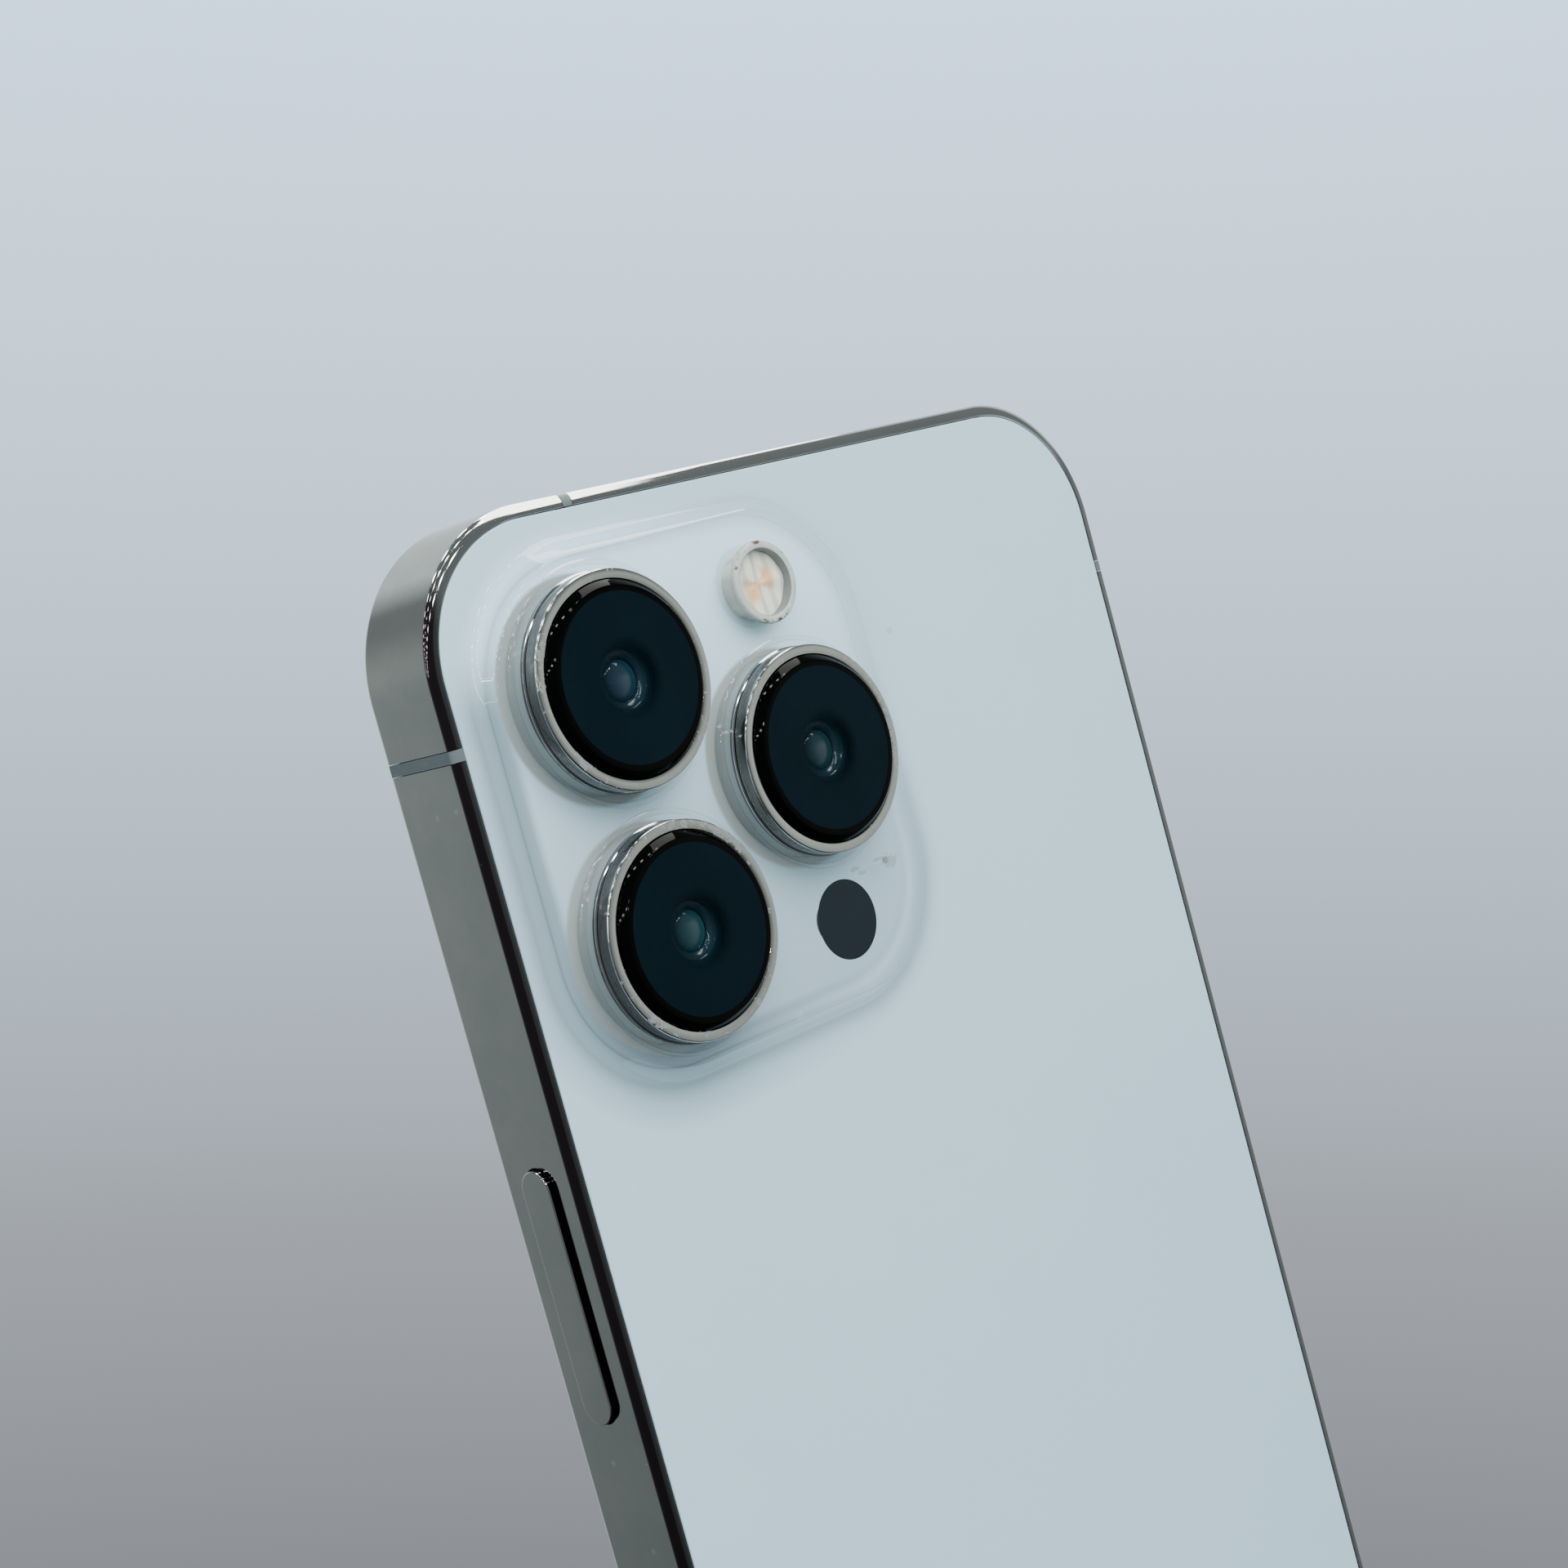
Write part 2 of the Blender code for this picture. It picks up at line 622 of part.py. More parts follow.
def bottom_meshes():
    back = HEIGHT - BAND_WALL - GAP
    for name, side, holes in (("speaker_mesh", -1, SPEAKER_HOLES), ("microphone_mesh", 1, MICROPHONE_HOLES)):
        first = MIDDLE + side * (GRILLE_START - 1.1)
        last = MIDDLE + side * (GRILLE_START + GRILLE_PITCH * (holes - 1) + 1.1)
        block(name, MESH, (min(first, last), max(first, last)), (back - 0.4, back), (2.7, 4.95))


# ---------------------------------------------------------------- inside


def battery():
    """An L-shaped cell: a tall arm beside the board and a wide foot across the phone."""
    cell = block("battery", CELL, (24.0, 49.0), (43.0, 124.5), (2.2, 6.0), corner=1.2, steps=3)
    foot = block("join_battery_foot", None, (24.0, 68.0), (89.6, 124.5), (2.2, 6.0), corner=1.2, steps=3)
    boolean(cell, foot, "UNION")


def boards():
    block("logic_board", BOARD, (4.0, 22.6), (40.6, 124.0), (2.5, 3.3), corner=1.0, steps=3)
    block("board_shield", INNER_STEEL, (4.6, 22.0), (42.0, 112.0), (3.4, 5.6), corner=0.8, steps=3)


def charging_coil():
    for name, finish, radii in (("charging_coil", COPPER, COIL_RADII), ("magnet_ring", MAGNET, MAGNET_RADII)):
        inner, outer = radii
        profile = [(outer, REAR_SHELF), (outer, 6.15), (inner, 6.15), (inner, REAR_SHELF)]
        turned(name, finish, (MIDDLE, COIL_DOWN), profile, steps=28, ring=True)


def haptic_engine():
    """A tray-shaped case, open towards the display, with the mass that shakes in it."""
    across, down, deep = (43.2, 68.2), (126.6, 136.6), (2.4, 5.9)
    wall = 0.4
    case = block("haptic_case", INNER_STEEL, across, down, deep, corner=1.0, steps=3)
    room = ((across[0] + wall, across[1] - wall), (down[0] + wall, down[1] - wall))
    boolean(case, block("cut_haptic_room", None, *room, (0.0, deep[1] - wall)))
    mass = ((across[0] + 2.4, across[1] - 2.4), (down[0] + wall + 0.3, down[1] - wall - 0.3))
    block("haptic_mass", MAGNET, *mass, (2.7, deep[1] - wall - 0.3), corner=0.8, steps=3)


def loudspeaker():
    block("loudspeaker", BLACK_PLASTIC, (4.2, 29.0), (126.6, 140.6), (2.4, 5.9), corner=1.2, steps=3)


band_segments = steel_band()
side_openings(band_segments)
bottom_openings(band_segments)
rear_glass()
chassis_plate()
display()
front_sensors()
cameras()
flash()
depth_sensor()
rear_microphone()
buttons()
mute_switch()
sim_tray()
charging_port()
bottom_screws()
bottom_meshes()
battery()
boards()
charging_coil()
haptic_engine()
loudspeaker()
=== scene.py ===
"""Looks for the smartphone with three rear cameras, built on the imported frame.

A place on the phone is given as it is measured on the bench, in millimetres:
    across  from the long edge that carries the side button
    down    from the top edge
    high    above the flat part of the rear glass (the display's face is at -7.65)
point() turns it into the frame's metres.
"""

import math

import bmesh
import bpy
from mathutils import Matrix, Vector


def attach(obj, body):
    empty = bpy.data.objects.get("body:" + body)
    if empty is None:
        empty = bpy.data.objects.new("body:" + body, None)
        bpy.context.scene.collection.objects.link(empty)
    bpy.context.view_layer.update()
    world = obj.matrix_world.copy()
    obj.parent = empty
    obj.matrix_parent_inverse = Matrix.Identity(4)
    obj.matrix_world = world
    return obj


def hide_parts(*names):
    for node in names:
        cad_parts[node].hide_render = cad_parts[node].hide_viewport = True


MM = 0.001
WIDTH, HEIGHT, THICK = 71.5, 146.7, 7.65
BACK_Y = 1.825  # the frame's Y of the flat part of the rear glass
CORNER = 11.0
EDGE_MIDDLE = -3.83  # height of the middle of the edges, where the buttons, tray and port are centred
LENSES = {"main": (13.4, 31.6), "tele": (30.1, 22.5), "wide": (13.4, 13.6)}
FLASH = (30.1, 9.6)
DEPTH = (29.6, 35.3)
MIC = (35.2, 32.2)
FRONT_CAMERA = (43.75, 5.2)
PLATEAU = (2.4, 41.0, 2.7, 42.4, 11.0)  # across from, to, down from, to, corner radius at its foot
FLANK, RISE = 1.7, 1.75
TOP_BREAK, BOTTOM_BREAK = (15.0, 15.94), (55.6, 56.54)  # across, from and to
UPPER_BREAK, LOWER_BREAK = (15.04, 15.98), (130.7, 131.64)  # down, from and to
SEAM = 0.05
TRAY_DOWN, TRAY_PIN_DOWN = 79.0, 88.9
SWITCH_DOWN = 32.8
BACK_SPECK = (43.725, 15.711, 0.0)
MIC_DIRT = (35.207, 32.248, RISE)
RISE_MARKS = (((31.447, 31.934, RISE), 0.0005, 0.00022), ((32.184, 32.388, RISE), 0.0004, 0.0002),
              ((34.133, 31.895, RISE), 0.0007, 0.00016))
FLAT_ONLY = (1.0, 0.0, 1.0)  # drops the height from a direction

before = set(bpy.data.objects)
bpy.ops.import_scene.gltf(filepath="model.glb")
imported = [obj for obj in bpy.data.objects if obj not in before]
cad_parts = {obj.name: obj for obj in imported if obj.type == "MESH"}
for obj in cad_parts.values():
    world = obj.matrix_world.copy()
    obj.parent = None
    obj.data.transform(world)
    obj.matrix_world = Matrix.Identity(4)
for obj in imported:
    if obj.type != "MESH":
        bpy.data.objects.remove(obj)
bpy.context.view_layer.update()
BODY = "phone"


def point(across, down, high):
    return Vector(((WIDTH / 2 - across) * MM, (BACK_Y + high) * MM, (HEIGHT - down) * MM))


# ---------------------------------------------------------------- shader tools


def new_group(name, inputs, outputs):
    """An empty node group with its sockets: {name: (kind, default)} and {name: kind}."""
    group = bpy.data.node_groups.new(name, "ShaderNodeTree")
    for label, (kind, value) in inputs.items():
        socket = group.interface.new_socket(label, in_out="INPUT", socket_type=f"NodeSocket{kind}")
        if value is not None:
            socket.default_value = value
    for label, kind in outputs.items():
        group.interface.new_socket(label, in_out="OUTPUT", socket_type=f"NodeSocket{kind}")
    return group, group.nodes.new("NodeGroupInput"), group.nodes.new("NodeGroupOutput")


class Tree:
    """Short ways to add nodes to one node tree. A value is a number, a tuple or another node's socket."""

    def __init__(self, tree):
        self.tree = tree

    def set(self, socket, value):
        if isinstance(value, bpy.types.NodeSocket):
            self.tree.links.new(value, socket)
        elif value is not None:
            socket.default_value = value

    def add(self, kind, settings=None, **inputs):
        node = self.tree.nodes.new(kind)
        for name, value in (settings or {}).items():
            setattr(node, name, value)
        for name, value in inputs.items():
            key = int(name[1:]) if name[0] == "i" and name[1:].isdigit() else name.replace("_", " ")
            self.set(node.inputs[key], value)
        return node

    def math(self, what, a, b=None, c=None, clamp=False):
        node = self.add("ShaderNodeMath", {"operation": what, "use_clamp": clamp})
        for socket, value in zip(node.inputs, (a, b, c)):
            self.set(socket, value)
        return node.outputs[0]

    def vector(self, what, a, b=None):
        node = self.add("ShaderNodeVectorMath", {"operation": what})
        for socket, value in zip(node.inputs, (a, b)):
            self.set(socket, value)
        return node.outputs["Value" if what in ("DOT_PRODUCT", "LENGTH", "DISTANCE") else "Vector"]

    def ramp(self, value, *stops, smooth=False):
        """A ramp through (position, colour or grey) stops, with positions from 0 to 1."""
        node = self.add("ShaderNodeValToRGB")
        self.set(node.inputs[0], value)
        node.color_ramp.interpolation = "EASE" if smooth else "LINEAR"
        points = node.color_ramp.elements
        while len(points) < len(stops):
            points.new(1.0)
        for element, (place, colour) in zip(points, stops):
            element.position = place
            grey = isinstance(colour, (int, float))
            element.color = (colour, colour, colour, 1) if grey else (*colour, 1)
        return node.outputs[0]

    def remap(self, value, low, high, to_low=0.0, to_high=1.0, smooth=True):
        node = self.add("ShaderNodeMapRange", {"interpolation_type": "SMOOTHSTEP" if smooth else "LINEAR"})
        for name, given in zip(("Value", "From Min", "From Max", "To Min", "To Max"),
                               (value, low, high, to_low, to_high)):
            self.set(node.inputs[name], given)
        return node.outputs[0]

    def mix(self, amount, a, b):
        node = self.add("ShaderNodeMix", {"data_type": "RGBA"})
        self.set(node.inputs[0], amount)
        self.set(node.inputs[6], a if isinstance(a, bpy.types.NodeSocket) else (*a, 1))
        self.set(node.inputs[7], b if isinstance(b, bpy.types.NodeSocket) else (*b, 1))
        return node.outputs[2]

    def mix_value(self, amount, a, b):
        node = self.add("ShaderNodeMix", {"data_type": "FLOAT"})
        for index, value in ((0, amount), (2, a), (3, b)):
            self.set(node.inputs[index], value)
        return node.outputs[0]

    def flip(self, value):
        return self.math("SUBTRACT", 1.0, value)

    def place(self):
        return self.add("ShaderNodeTexCoord").outputs["Object"]

    def height(self, where):
        """Millimetres above the flat part of the rear glass."""
        y = self.add("ShaderNodeSeparateXYZ", Vector=where).outputs["Y"]
        return self.math("DIVIDE", self.math("SUBTRACT", y, BACK_Y * MM), MM)

    def radius(self, where, centre):
        """Millimetres from the axis of something round that is centred at (across, down)."""
        local = self.vector("SUBTRACT", where, tuple(point(*centre, 0.0)))
        return self.math("DIVIDE", self.vector("LENGTH", self.vector("MULTIPLY", local, FLAT_ONLY)), MM)

    def front(self):
        """1 on the outer side of a face."""
        return self.flip(self.add("ShaderNodeNewGeometry").outputs["Backfacing"])

    def mask(self, tree, where, **inputs):
        """One of the shared groups placed in this tree: its only output."""
        node = self.tree.nodes.new("ShaderNodeGroup")
        node.node_tree = tree
        for name, value in {"Vector": where, **inputs}.items():
            self.set(node.inputs[name.replace("_", " ")], value)
        return node.outputs[0]

    def noise(self, vector, scale, detail=3.0, rough=0.5):
        return self.add("ShaderNodeTexNoise", Vector=vector, Scale=scale, Detail=detail,
                        Roughness=rough).outputs[0]


def hairlines_group():
    """Fine straight scratches: a mask of thin lines that run along one axis and break up."""
    group, inp, out = new_group(
        "hairlines", {"Vector": ("Vector", None), "Stretch": ("Vector", (1.0, 1.0, 1.0)), "Amount": ("Float", 0.5)},
        {"Mask": "Float"})
    t = Tree(group)
    vector = t.vector("MULTIPLY", inp.outputs["Vector"], inp.outputs["Stretch"])
    lines = t.noise(vector, 900.0, 4.0, 0.7)
    thin = t.remap(lines, 0.60, 0.74)
    patches = t.remap(t.noise(inp.outputs["Vector"], 140.0, 2.0), 0.45, 0.7)
    t.set(out.inputs["Mask"], t.math("MULTIPLY", t.math("MULTIPLY", thin, patches), inp.outputs["Amount"]))
    return group


def smudges_group():
    """Soft finger marks: wide uneven patches, from 0 to 1."""
    group, inp, out = new_group("smudges", {"Vector": ("Vector", None), "Scale": ("Float", 60.0)}, {"Mask": "Float"})
    t = Tree(group)
    wide = t.noise(inp.outputs["Vector"], inp.outputs["Scale"], 3.0, 0.55)
    fine = t.noise(inp.outputs["Vector"], t.math("MULTIPLY", inp.outputs["Scale"], 7.0), 2.0, 0.6)
    both = t.math("ADD", t.math("MULTIPLY", wide, 0.75), t.math("MULTIPLY", fine, 0.25))
    t.set(out.inputs["Mask"], t.remap(both, 0.38, 0.66))
    return group


def dust_group():
    """Small scattered specks, from 0 to 1."""
    group, inp, out = new_group(
        "dust", {"Vector": ("Vector", None), "Scale": ("Float", 900.0), "Share": ("Float", 0.1)}, {"Mask": "Float"})
    t = Tree(group)
    cells = t.add("ShaderNodeTexVoronoi", Vector=inp.outputs["Vector"], Scale=inp.outputs["Scale"])
    speck = t.flip(t.remap(cells.outputs["Distance"], 0.10, 0.20))
    pick = t.add("ShaderNodeSeparateColor", Color=cells.outputs["Color"]).outputs[0]
    chosen = t.math("LESS_THAN", pick, inp.outputs["Share"])
    t.set(out.inputs["Mask"], t.math("MULTIPLY", speck, chosen))
    return group


def grime_group():
    """Dirt caught in a band of height: 1 where the height along Y is near Height and the noise is high."""
    group, inp, out = new_group(
        "grime", {"Vector": ("Vector", None), "Height": ("Float", 0.0), "Spread": ("Float", 0.0002),
                  "Scale": ("Float", 900.0), "Least": ("Float", 0.55)}, {"Mask": "Float"})
    t = Tree(group)
    y = t.add("ShaderNodeSeparateXYZ", Vector=inp.outputs["Vector"]).outputs["Y"]
    off = t.math("DIVIDE", t.math("ABSOLUTE", t.math("SUBTRACT", y, inp.outputs["Height"])), inp.outputs["Spread"])
    near = t.flip(t.math("MINIMUM", off, 1.0))
    lumps = t.noise(inp.outputs["Vector"], inp.outputs["Scale"], 4.0, 0.7)
    where = t.noise(inp.outputs["Vector"], 260.0, 2.0)
    level = t.math("ADD", t.math("MULTIPLY", lumps, 0.6), t.math("MULTIPLY", where, 0.5))
    hit = t.remap(level, inp.outputs["Least"], t.math("ADD", inp.outputs["Least"], 0.06))
    t.set(out.inputs["Mask"], t.math("MULTIPLY", hit, t.remap(near, 0.0, 0.45)))
    return group


def spot_group():
    """A soft-edged ragged patch round one place, stretched along the axes."""
    group, inp, out = new_group(
        "spot", {"Vector": ("Vector", None), "Centre": ("Vector", (0.0, 0.0, 0.0)),
                 "Radii": ("Vector", (1.0, 1.0, 1.0)), "Ragged": ("Float", 0.5)}, {"Mask": "Float"})
    t = Tree(group)
    local = t.vector("DIVIDE", t.vector("SUBTRACT", inp.outputs["Vector"], inp.outputs["Centre"]), inp.outputs["Radii"])
    far = t.vector("LENGTH", local)
    ragged = t.math("MULTIPLY", t.math("SUBTRACT", t.noise(inp.outputs["Vector"], 2600.0, 4.0, 0.7), 0.5),
                    t.math("MULTIPLY", inp.outputs["Ragged"], 3.0))
    t.set(out.inputs["Mask"], t.flip(t.remap(t.math("ADD", far, ragged), 0.75, 1.05)))
    return group


def outline_group():
    """Signed distance, in millimetres, to a rounded rectangle in the phone's plane: less than 0 inside it."""
    group, inp, out = new_group(
        "outline_distance", {"Vector": ("Vector", None), "Centre": ("Vector", (0.0, 0.0, 0.0)),
                             "Half": ("Vector", (0.01, 0.0, 0.01)), "Radius": ("Float", 0.001)}, {"Distance": "Float"})
    t = Tree(group)
    local = t.vector("ABSOLUTE", t.vector("SUBTRACT", inp.outputs["Vector"], inp.outputs["Centre"]))
    core = t.vector("SUBTRACT", local, inp.outputs["Half"])
    axes = t.add("ShaderNodeSeparateXYZ", Vector=core).outputs
    x, z = (t.math("ADD", axes[k], inp.outputs["Radius"]) for k in ("X", "Z"))
    px, pz = t.math("MAXIMUM", x, 0.0), t.math("MAXIMUM", z, 0.0)
    outside = t.math("SQRT", t.math("ADD", t.math("MULTIPLY", px, px), t.math("MULTIPLY", pz, pz)))
    far = t.math("ADD", outside, t.math("MINIMUM", t.math("MAXIMUM", x, z), 0.0))
    t.set(out.inputs["Distance"], t.math("DIVIDE", t.math("SUBTRACT", far, inp.outputs["Radius"]), MM))
    return group


HAIRLINES, SMUDGES, DUST = hairlines_group(), smudges_group(), dust_group()
GRIME, SPOT, OUTLINE = grime_group(), spot_group(), outline_group()


def material(name, **inputs):
    """A new material: (material, Tree, Principled node). Inputs are set by their labels."""
    made = bpy.data.materials.new(name)
    made.use_nodes = True
    t = Tree(made.node_tree)
    shader = made.node_tree.nodes["Principled BSDF"]
    for label, value in inputs.items():
        t.set(shader.inputs[label.replace("_", " ")], value)
    return made, t, shader


def rgb(*values):
    return (*values, 1.0)


def varied(name, colour, roughness, metallic=0.0, change=0.12, scale=200.0, bump=0.0, spread=0.08, **inputs):
    """A plain finish with uneven colour and roughness."""
    made, t, shader = material(name, Metallic=metallic, **inputs)
    where = t.place()
    smudge = t.mask(SMUDGES, where, Scale=scale)
    darker = tuple(c * (1 - change) for c in colour)
    t.set(shader.inputs["Base Color"], t.mix(smudge, colour, darker))
    t.set(shader.inputs["Roughness"], t.remap(smudge, 0.0, 1.0, roughness, roughness + spread))
    if bump:
        grain = t.noise(where, scale * 12.0, 3.0)
        t.set(shader.inputs["Normal"],
              t.add("ShaderNodeBump", Height=grain, Strength=bump, Distance=0.0001).outputs[0])
    return made


def steel_material():
    """Mirror polished steel with hairlines, specks and painted shade on its rear lip along the long sides."""
    made, t, shader = material("mirror_steel", Metallic=1.0)
    where = t.place()
    lines = t.mask(HAIRLINES, where, Stretch=(1.0, 1.0, 0.12), Amount=0.7)
    marks = t.mask(SMUDGES, where, Scale=110.0)
    specks = t.mask(DUST, where, Scale=700.0, Share=0.02)
    colour = t.mix(marks, (0.63, 0.635, 0.62), (0.57, 0.585, 0.575))
    colour = t.mix(t.math("MULTIPLY", specks, 0.5), colour, (0.78, 0.78, 0.76))
    high = t.height(where)
    beside = t.math("ABSOLUTE", t.add("ShaderNodeSeparateXYZ", Vector=where).outputs["X"])
    # The rear lip is painted in shade along the two long sides, with a lighter painted line next to the glass
    lip = t.math("MULTIPLY", t.remap(high, -0.52, -0.44),
                 t.remap(beside, (WIDTH / 2 - 3.2) * MM, (WIDTH / 2 - 1.3) * MM))
    painted_lip_shade = t.mix(t.remap(high, -0.07, -0.045), (0.085, 0.068, 0.078), (0.21, 0.22, 0.22))
    t.set(shader.inputs["Base Color"], t.mix(lip, colour, painted_lip_shade))
    rough = t.math("ADD", t.remap(marks, 0.0, 1.0, 0.045, 0.085), t.math("MULTIPLY", lines, 0.10))
    t.set(shader.inputs["Roughness"], t.math("ADD", rough, t.math("MULTIPLY", specks, 0.2)))
    t.set(shader.inputs["Normal"],
          t.add("ShaderNodeBump", Height=lines, Strength=0.05, Distance=0.00001).outputs[0])
    return made


def ring_material():
    """Polished ring: worn flecks along the upper edge and grime where the wall meets the glass; painted shade on the
    wall, a painted highlight along the groove and painted grey shade on the part inside the clear rise.
    """
    made, t, shader = material("camera_ring_steel", Metallic=1.0)
    where = t.place()
    marks = t.mask(SMUDGES, where, Scale=260.0)
    foot = t.mask(GRIME, where, Height=(BACK_Y + 1.92) * MM, Spread=0.24 * MM, Scale=1500.0, Least=0.575)
    rim = t.mask(GRIME, where, Height=(BACK_Y + 3.36) * MM, Spread=0.16 * MM, Scale=1900.0, Least=0.615)
    dirt = t.math("MAXIMUM", foot, t.math("MULTIPLY", rim, 0.7))
    high = t.height(where)

    def between(low, top):
        return t.math("MULTIPLY", t.math("GREATER_THAN", high, low), t.math("LESS_THAN", high, top))

    colour = t.mix(marks, (0.64, 0.65, 0.63), (0.58, 0.595, 0.57))
    colour = t.mix(between(1.78, 3.30), colour, (0.135, 0.116, 0.105))  # painted shade on the wall
    colour = t.mix(between(2.08, 2.20), colour, (0.55, 0.56, 0.55))  # painted highlight along the groove
    stem = t.math("LESS_THAN", high, 1.76)  # the part inside the clear rise, painted in grey shade
    colour = t.mix(stem, colour, PAINTED_STEM_SHADE)
    t.set(shader.inputs["Base Color"], t.mix(dirt, colour, (0.05, 0.045, 0.04)))
    t.set(shader.inputs["Metallic"], t.flip(t.math("MAXIMUM", dirt, stem)))
    t.set(shader.inputs["Roughness"], t.math("ADD", t.remap(marks, 0.0, 1.0, 0.05, 0.10),
                                             t.math("MULTIPLY", dirt, 0.6)))
    return made


def back_material():
    """Matt white glass: soft uneven sheen, faint marks, one grey speck.

    Round and under the clear rise the white is shaded by depth, which stands for the bending of light in it.
    """
    made, t, shader = material("matt_white_glass", Specular_IOR_Level=0.35)
    where = t.place()
    haze = t.mask(SMUDGES, where, Scale=26.0)
    specks = t.mask(DUST, where, Scale=420.0, Share=0.03)
    colour = t.mix(haze, WHITE_TONE, tuple(c * 0.975 for c in WHITE_TONE))
    pu0, pu1, pv0, pv1, radius = PLATEAU
    centre = point((pu0 + pu1) / 2, (pv0 + pv1) / 2, 0.0)
    away = t.mask(OUTLINE, where, Centre=centre, Half=((pu1 - pu0) / 2 * MM, 0.0, (pv1 - pv0) / 2 * MM),
                   Radius=radius * MM)
    depth = t.remap(away, 3.0, -3.0, smooth=False)
    lit, shaded, far_side, far_low = (t.ramp(depth, *[((d + 3.0) / 6.0, c) for d, c in flank])
                                      for flank in (FLANK_LIT, FLANK_SHADED, FLANK_FAR, FLANK_FAR_LOW))
    local = t.vector("SUBTRACT", where, tuple(centre))
    upward = t.vector("DOT_PRODUCT", local, (6.0, 0.0, 60.0))
    across = t.vector("DOT_PRODUCT", local, (60.0, 0.0, -4.0))
    level = t.mix(t.remap(upward, 0.62, 0.98), shaded, lit)
    level = t.mix(t.remap(across, -0.7, 0.5), t.mix(t.remap(upward, -0.9, 0.5), far_low, far_side), level)
    # Painted light and shade inside the top of the rise: brighter towards the top, darker towards the bottom
    painted_rise_light = t.ramp(t.remap(upward, -1.2, 1.2, smooth=False),
                   (0.0, 0.70), (0.3, 0.80), (0.5, 0.94), (0.8, 1.18), (1.0, 1.22))
    level = t.mix(t.remap(away, -1.7, -2.6), level, t.vector("MULTIPLY", level, painted_rise_light))
    colour = t.vector("MULTIPLY", colour, level)
    for across_lens, down_lens in LENSES.values():  # painted shadow: a grey halo round the stem of each ring
        far = t.radius(where, (across_lens - 0.42, down_lens + 0.12))
        colour = t.mix(t.flip(t.remap(far, 8.05, 8.45)), colour, PAINTED_STEM_SHADE)
    colour = t.mix(t.math("MULTIPLY", specks, 0.12), colour, (0.55, 0.57, 0.58))
    speck = t.mask(SPOT, where, Centre=point(*BACK_SPECK), Radii=(0.0004, 0.002, 0.0003), Ragged=0.3)
    colour = t.mix(t.math("MULTIPLY", speck, 0.45), colour, (0.3, 0.31, 0.33))
    t.set(shader.inputs["Base Color"], colour)
    t.set(shader.inputs["Roughness"], t.remap(haze, 0.0, 1.0, 0.42, 0.50))
    return made


def clear_shell_material(name, tint, rough=0.015):
    """A clear surface: it shows only what it mirrors, and a body behind it stays visible."""
    made, t, shader = material(name, Metallic=1.0, Roughness=rough)
    shader.inputs["Base Color"].default_value = rgb(*tint)
    lens = t.add("ShaderNodeFresnel")
    lens.inputs["IOR"].default_value = 1.5
    front = t.front()
    alpha = t.math("MULTIPLY", lens.outputs[0], front)
    return made, t, shader, alpha, front


WHITE_TONE = (0.80, 1.07, 1.18)
# Grey of the painted shade on the rings' stems and of the painted shadow round them on the white
PAINTED_STEM_SHADE = (0.25, 0.275, 0.262)
# Painted light and shade: how bright the white is painted at each distance inside the foot of the rise: upper left,
# lower left, far side, far low
FLANK_LIT = ((-3.0, 0.5), (-0.9, 0.5), (-0.5, 0.52), (0.3, 0.62), (0.9, 0.72), (1.4, 0.62), (1.66, 0.46),
             (1.8, 0.56), (3.0, 0.57))
FLANK_SHADED = ((-3.0, 0.5), (-2.4, 0.455), (-1.65, 0.41), (-1.0, 0.38), (-0.4, 0.31), (0.05, 0.25), (0.4, 0.27),
                (0.95, 0.265), (1.3, 0.24), (1.43, 0.16), (1.56, 0.23), (2.3, 0.28), (3.0, 0.50))
FLANK_FAR = ((-3.0, 0.5), (-1.2, 0.49), (-0.4, 0.48), (0.3, 0.46), (0.9, 0.46), (1.4, 0.49), (1.52, 0.43),
             (1.68, 0.52), (3.0, 0.56))
FLANK_FAR_LOW = ((-3.0, 0.5), (-1.7, 0.49), (-0.9, 0.44), (-0.2, 0.34), (0.6, 0.32), (1.2, 0.36), (1.7, 0.42),
                 (3.0, 0.5))


# ---------------------------------------------------------------- mesh tools


def finish_piece(name, build, looks, stands_for=(), slot=None, body=BODY, sharp=32.0, weighted=True):
    """Turns a bmesh into a piece of the object."""
    bmesh.ops.remove_doubles(build, verts=build.verts, dist=2e-7)
    bmesh.ops.recalc_face_normals(build, faces=build.faces)
    limit = math.radians(sharp)
    for edge in build.edges:
        edge.smooth = len(edge.link_faces) == 2 and edge.calc_face_angle(0.0) < limit
    for face in build.faces:
        face.smooth = True
    mesh = bpy.data.meshes.new(name)
    build.to_mesh(mesh)
    build.free()
    piece = bpy.data.objects.new(name, mesh)
    bpy.context.scene.collection.objects.link(piece)
    for look in looks if isinstance(looks, (list, tuple)) else [looks]:
        mesh.materials.append(look)
    if weighted:
        modifier = piece.modifiers.new("even shading", "WEIGHTED_NORMAL")
        modifier.keep_sharp = True
        modifier.weight = 80
    if body is not None:
        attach(piece, body)
    if stands_for:
        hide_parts(*([stands_for] if isinstance(stands_for, str) else stands_for))
    return piece


def rounded(u0, u1, v0, v1, radius, steps=24):
    """A rounded rectangle as a list of (across, down), with the corners first to last in order."""
    corners = ((u0 + radius, v1 - radius, 90), (u0 + radius, v0 + radius, 180),
               (u1 - radius, v0 + radius, 270), (u1 - radius, v1 - radius, 0))
    outline = []
    for cu, cv, start in corners:
        for i in range(steps + 1):
            a = math.radians(start + 90 * i / steps)
            outline.append((cu + radius * math.cos(a), cv + radius * math.sin(a)))
    return outline


def circle(centre, radius, steps=96):
    return [(centre[0] + radius * math.cos(math.tau * i / steps), centre[1] + radius * math.sin(math.tau * i / steps))
            for i in range(steps)]


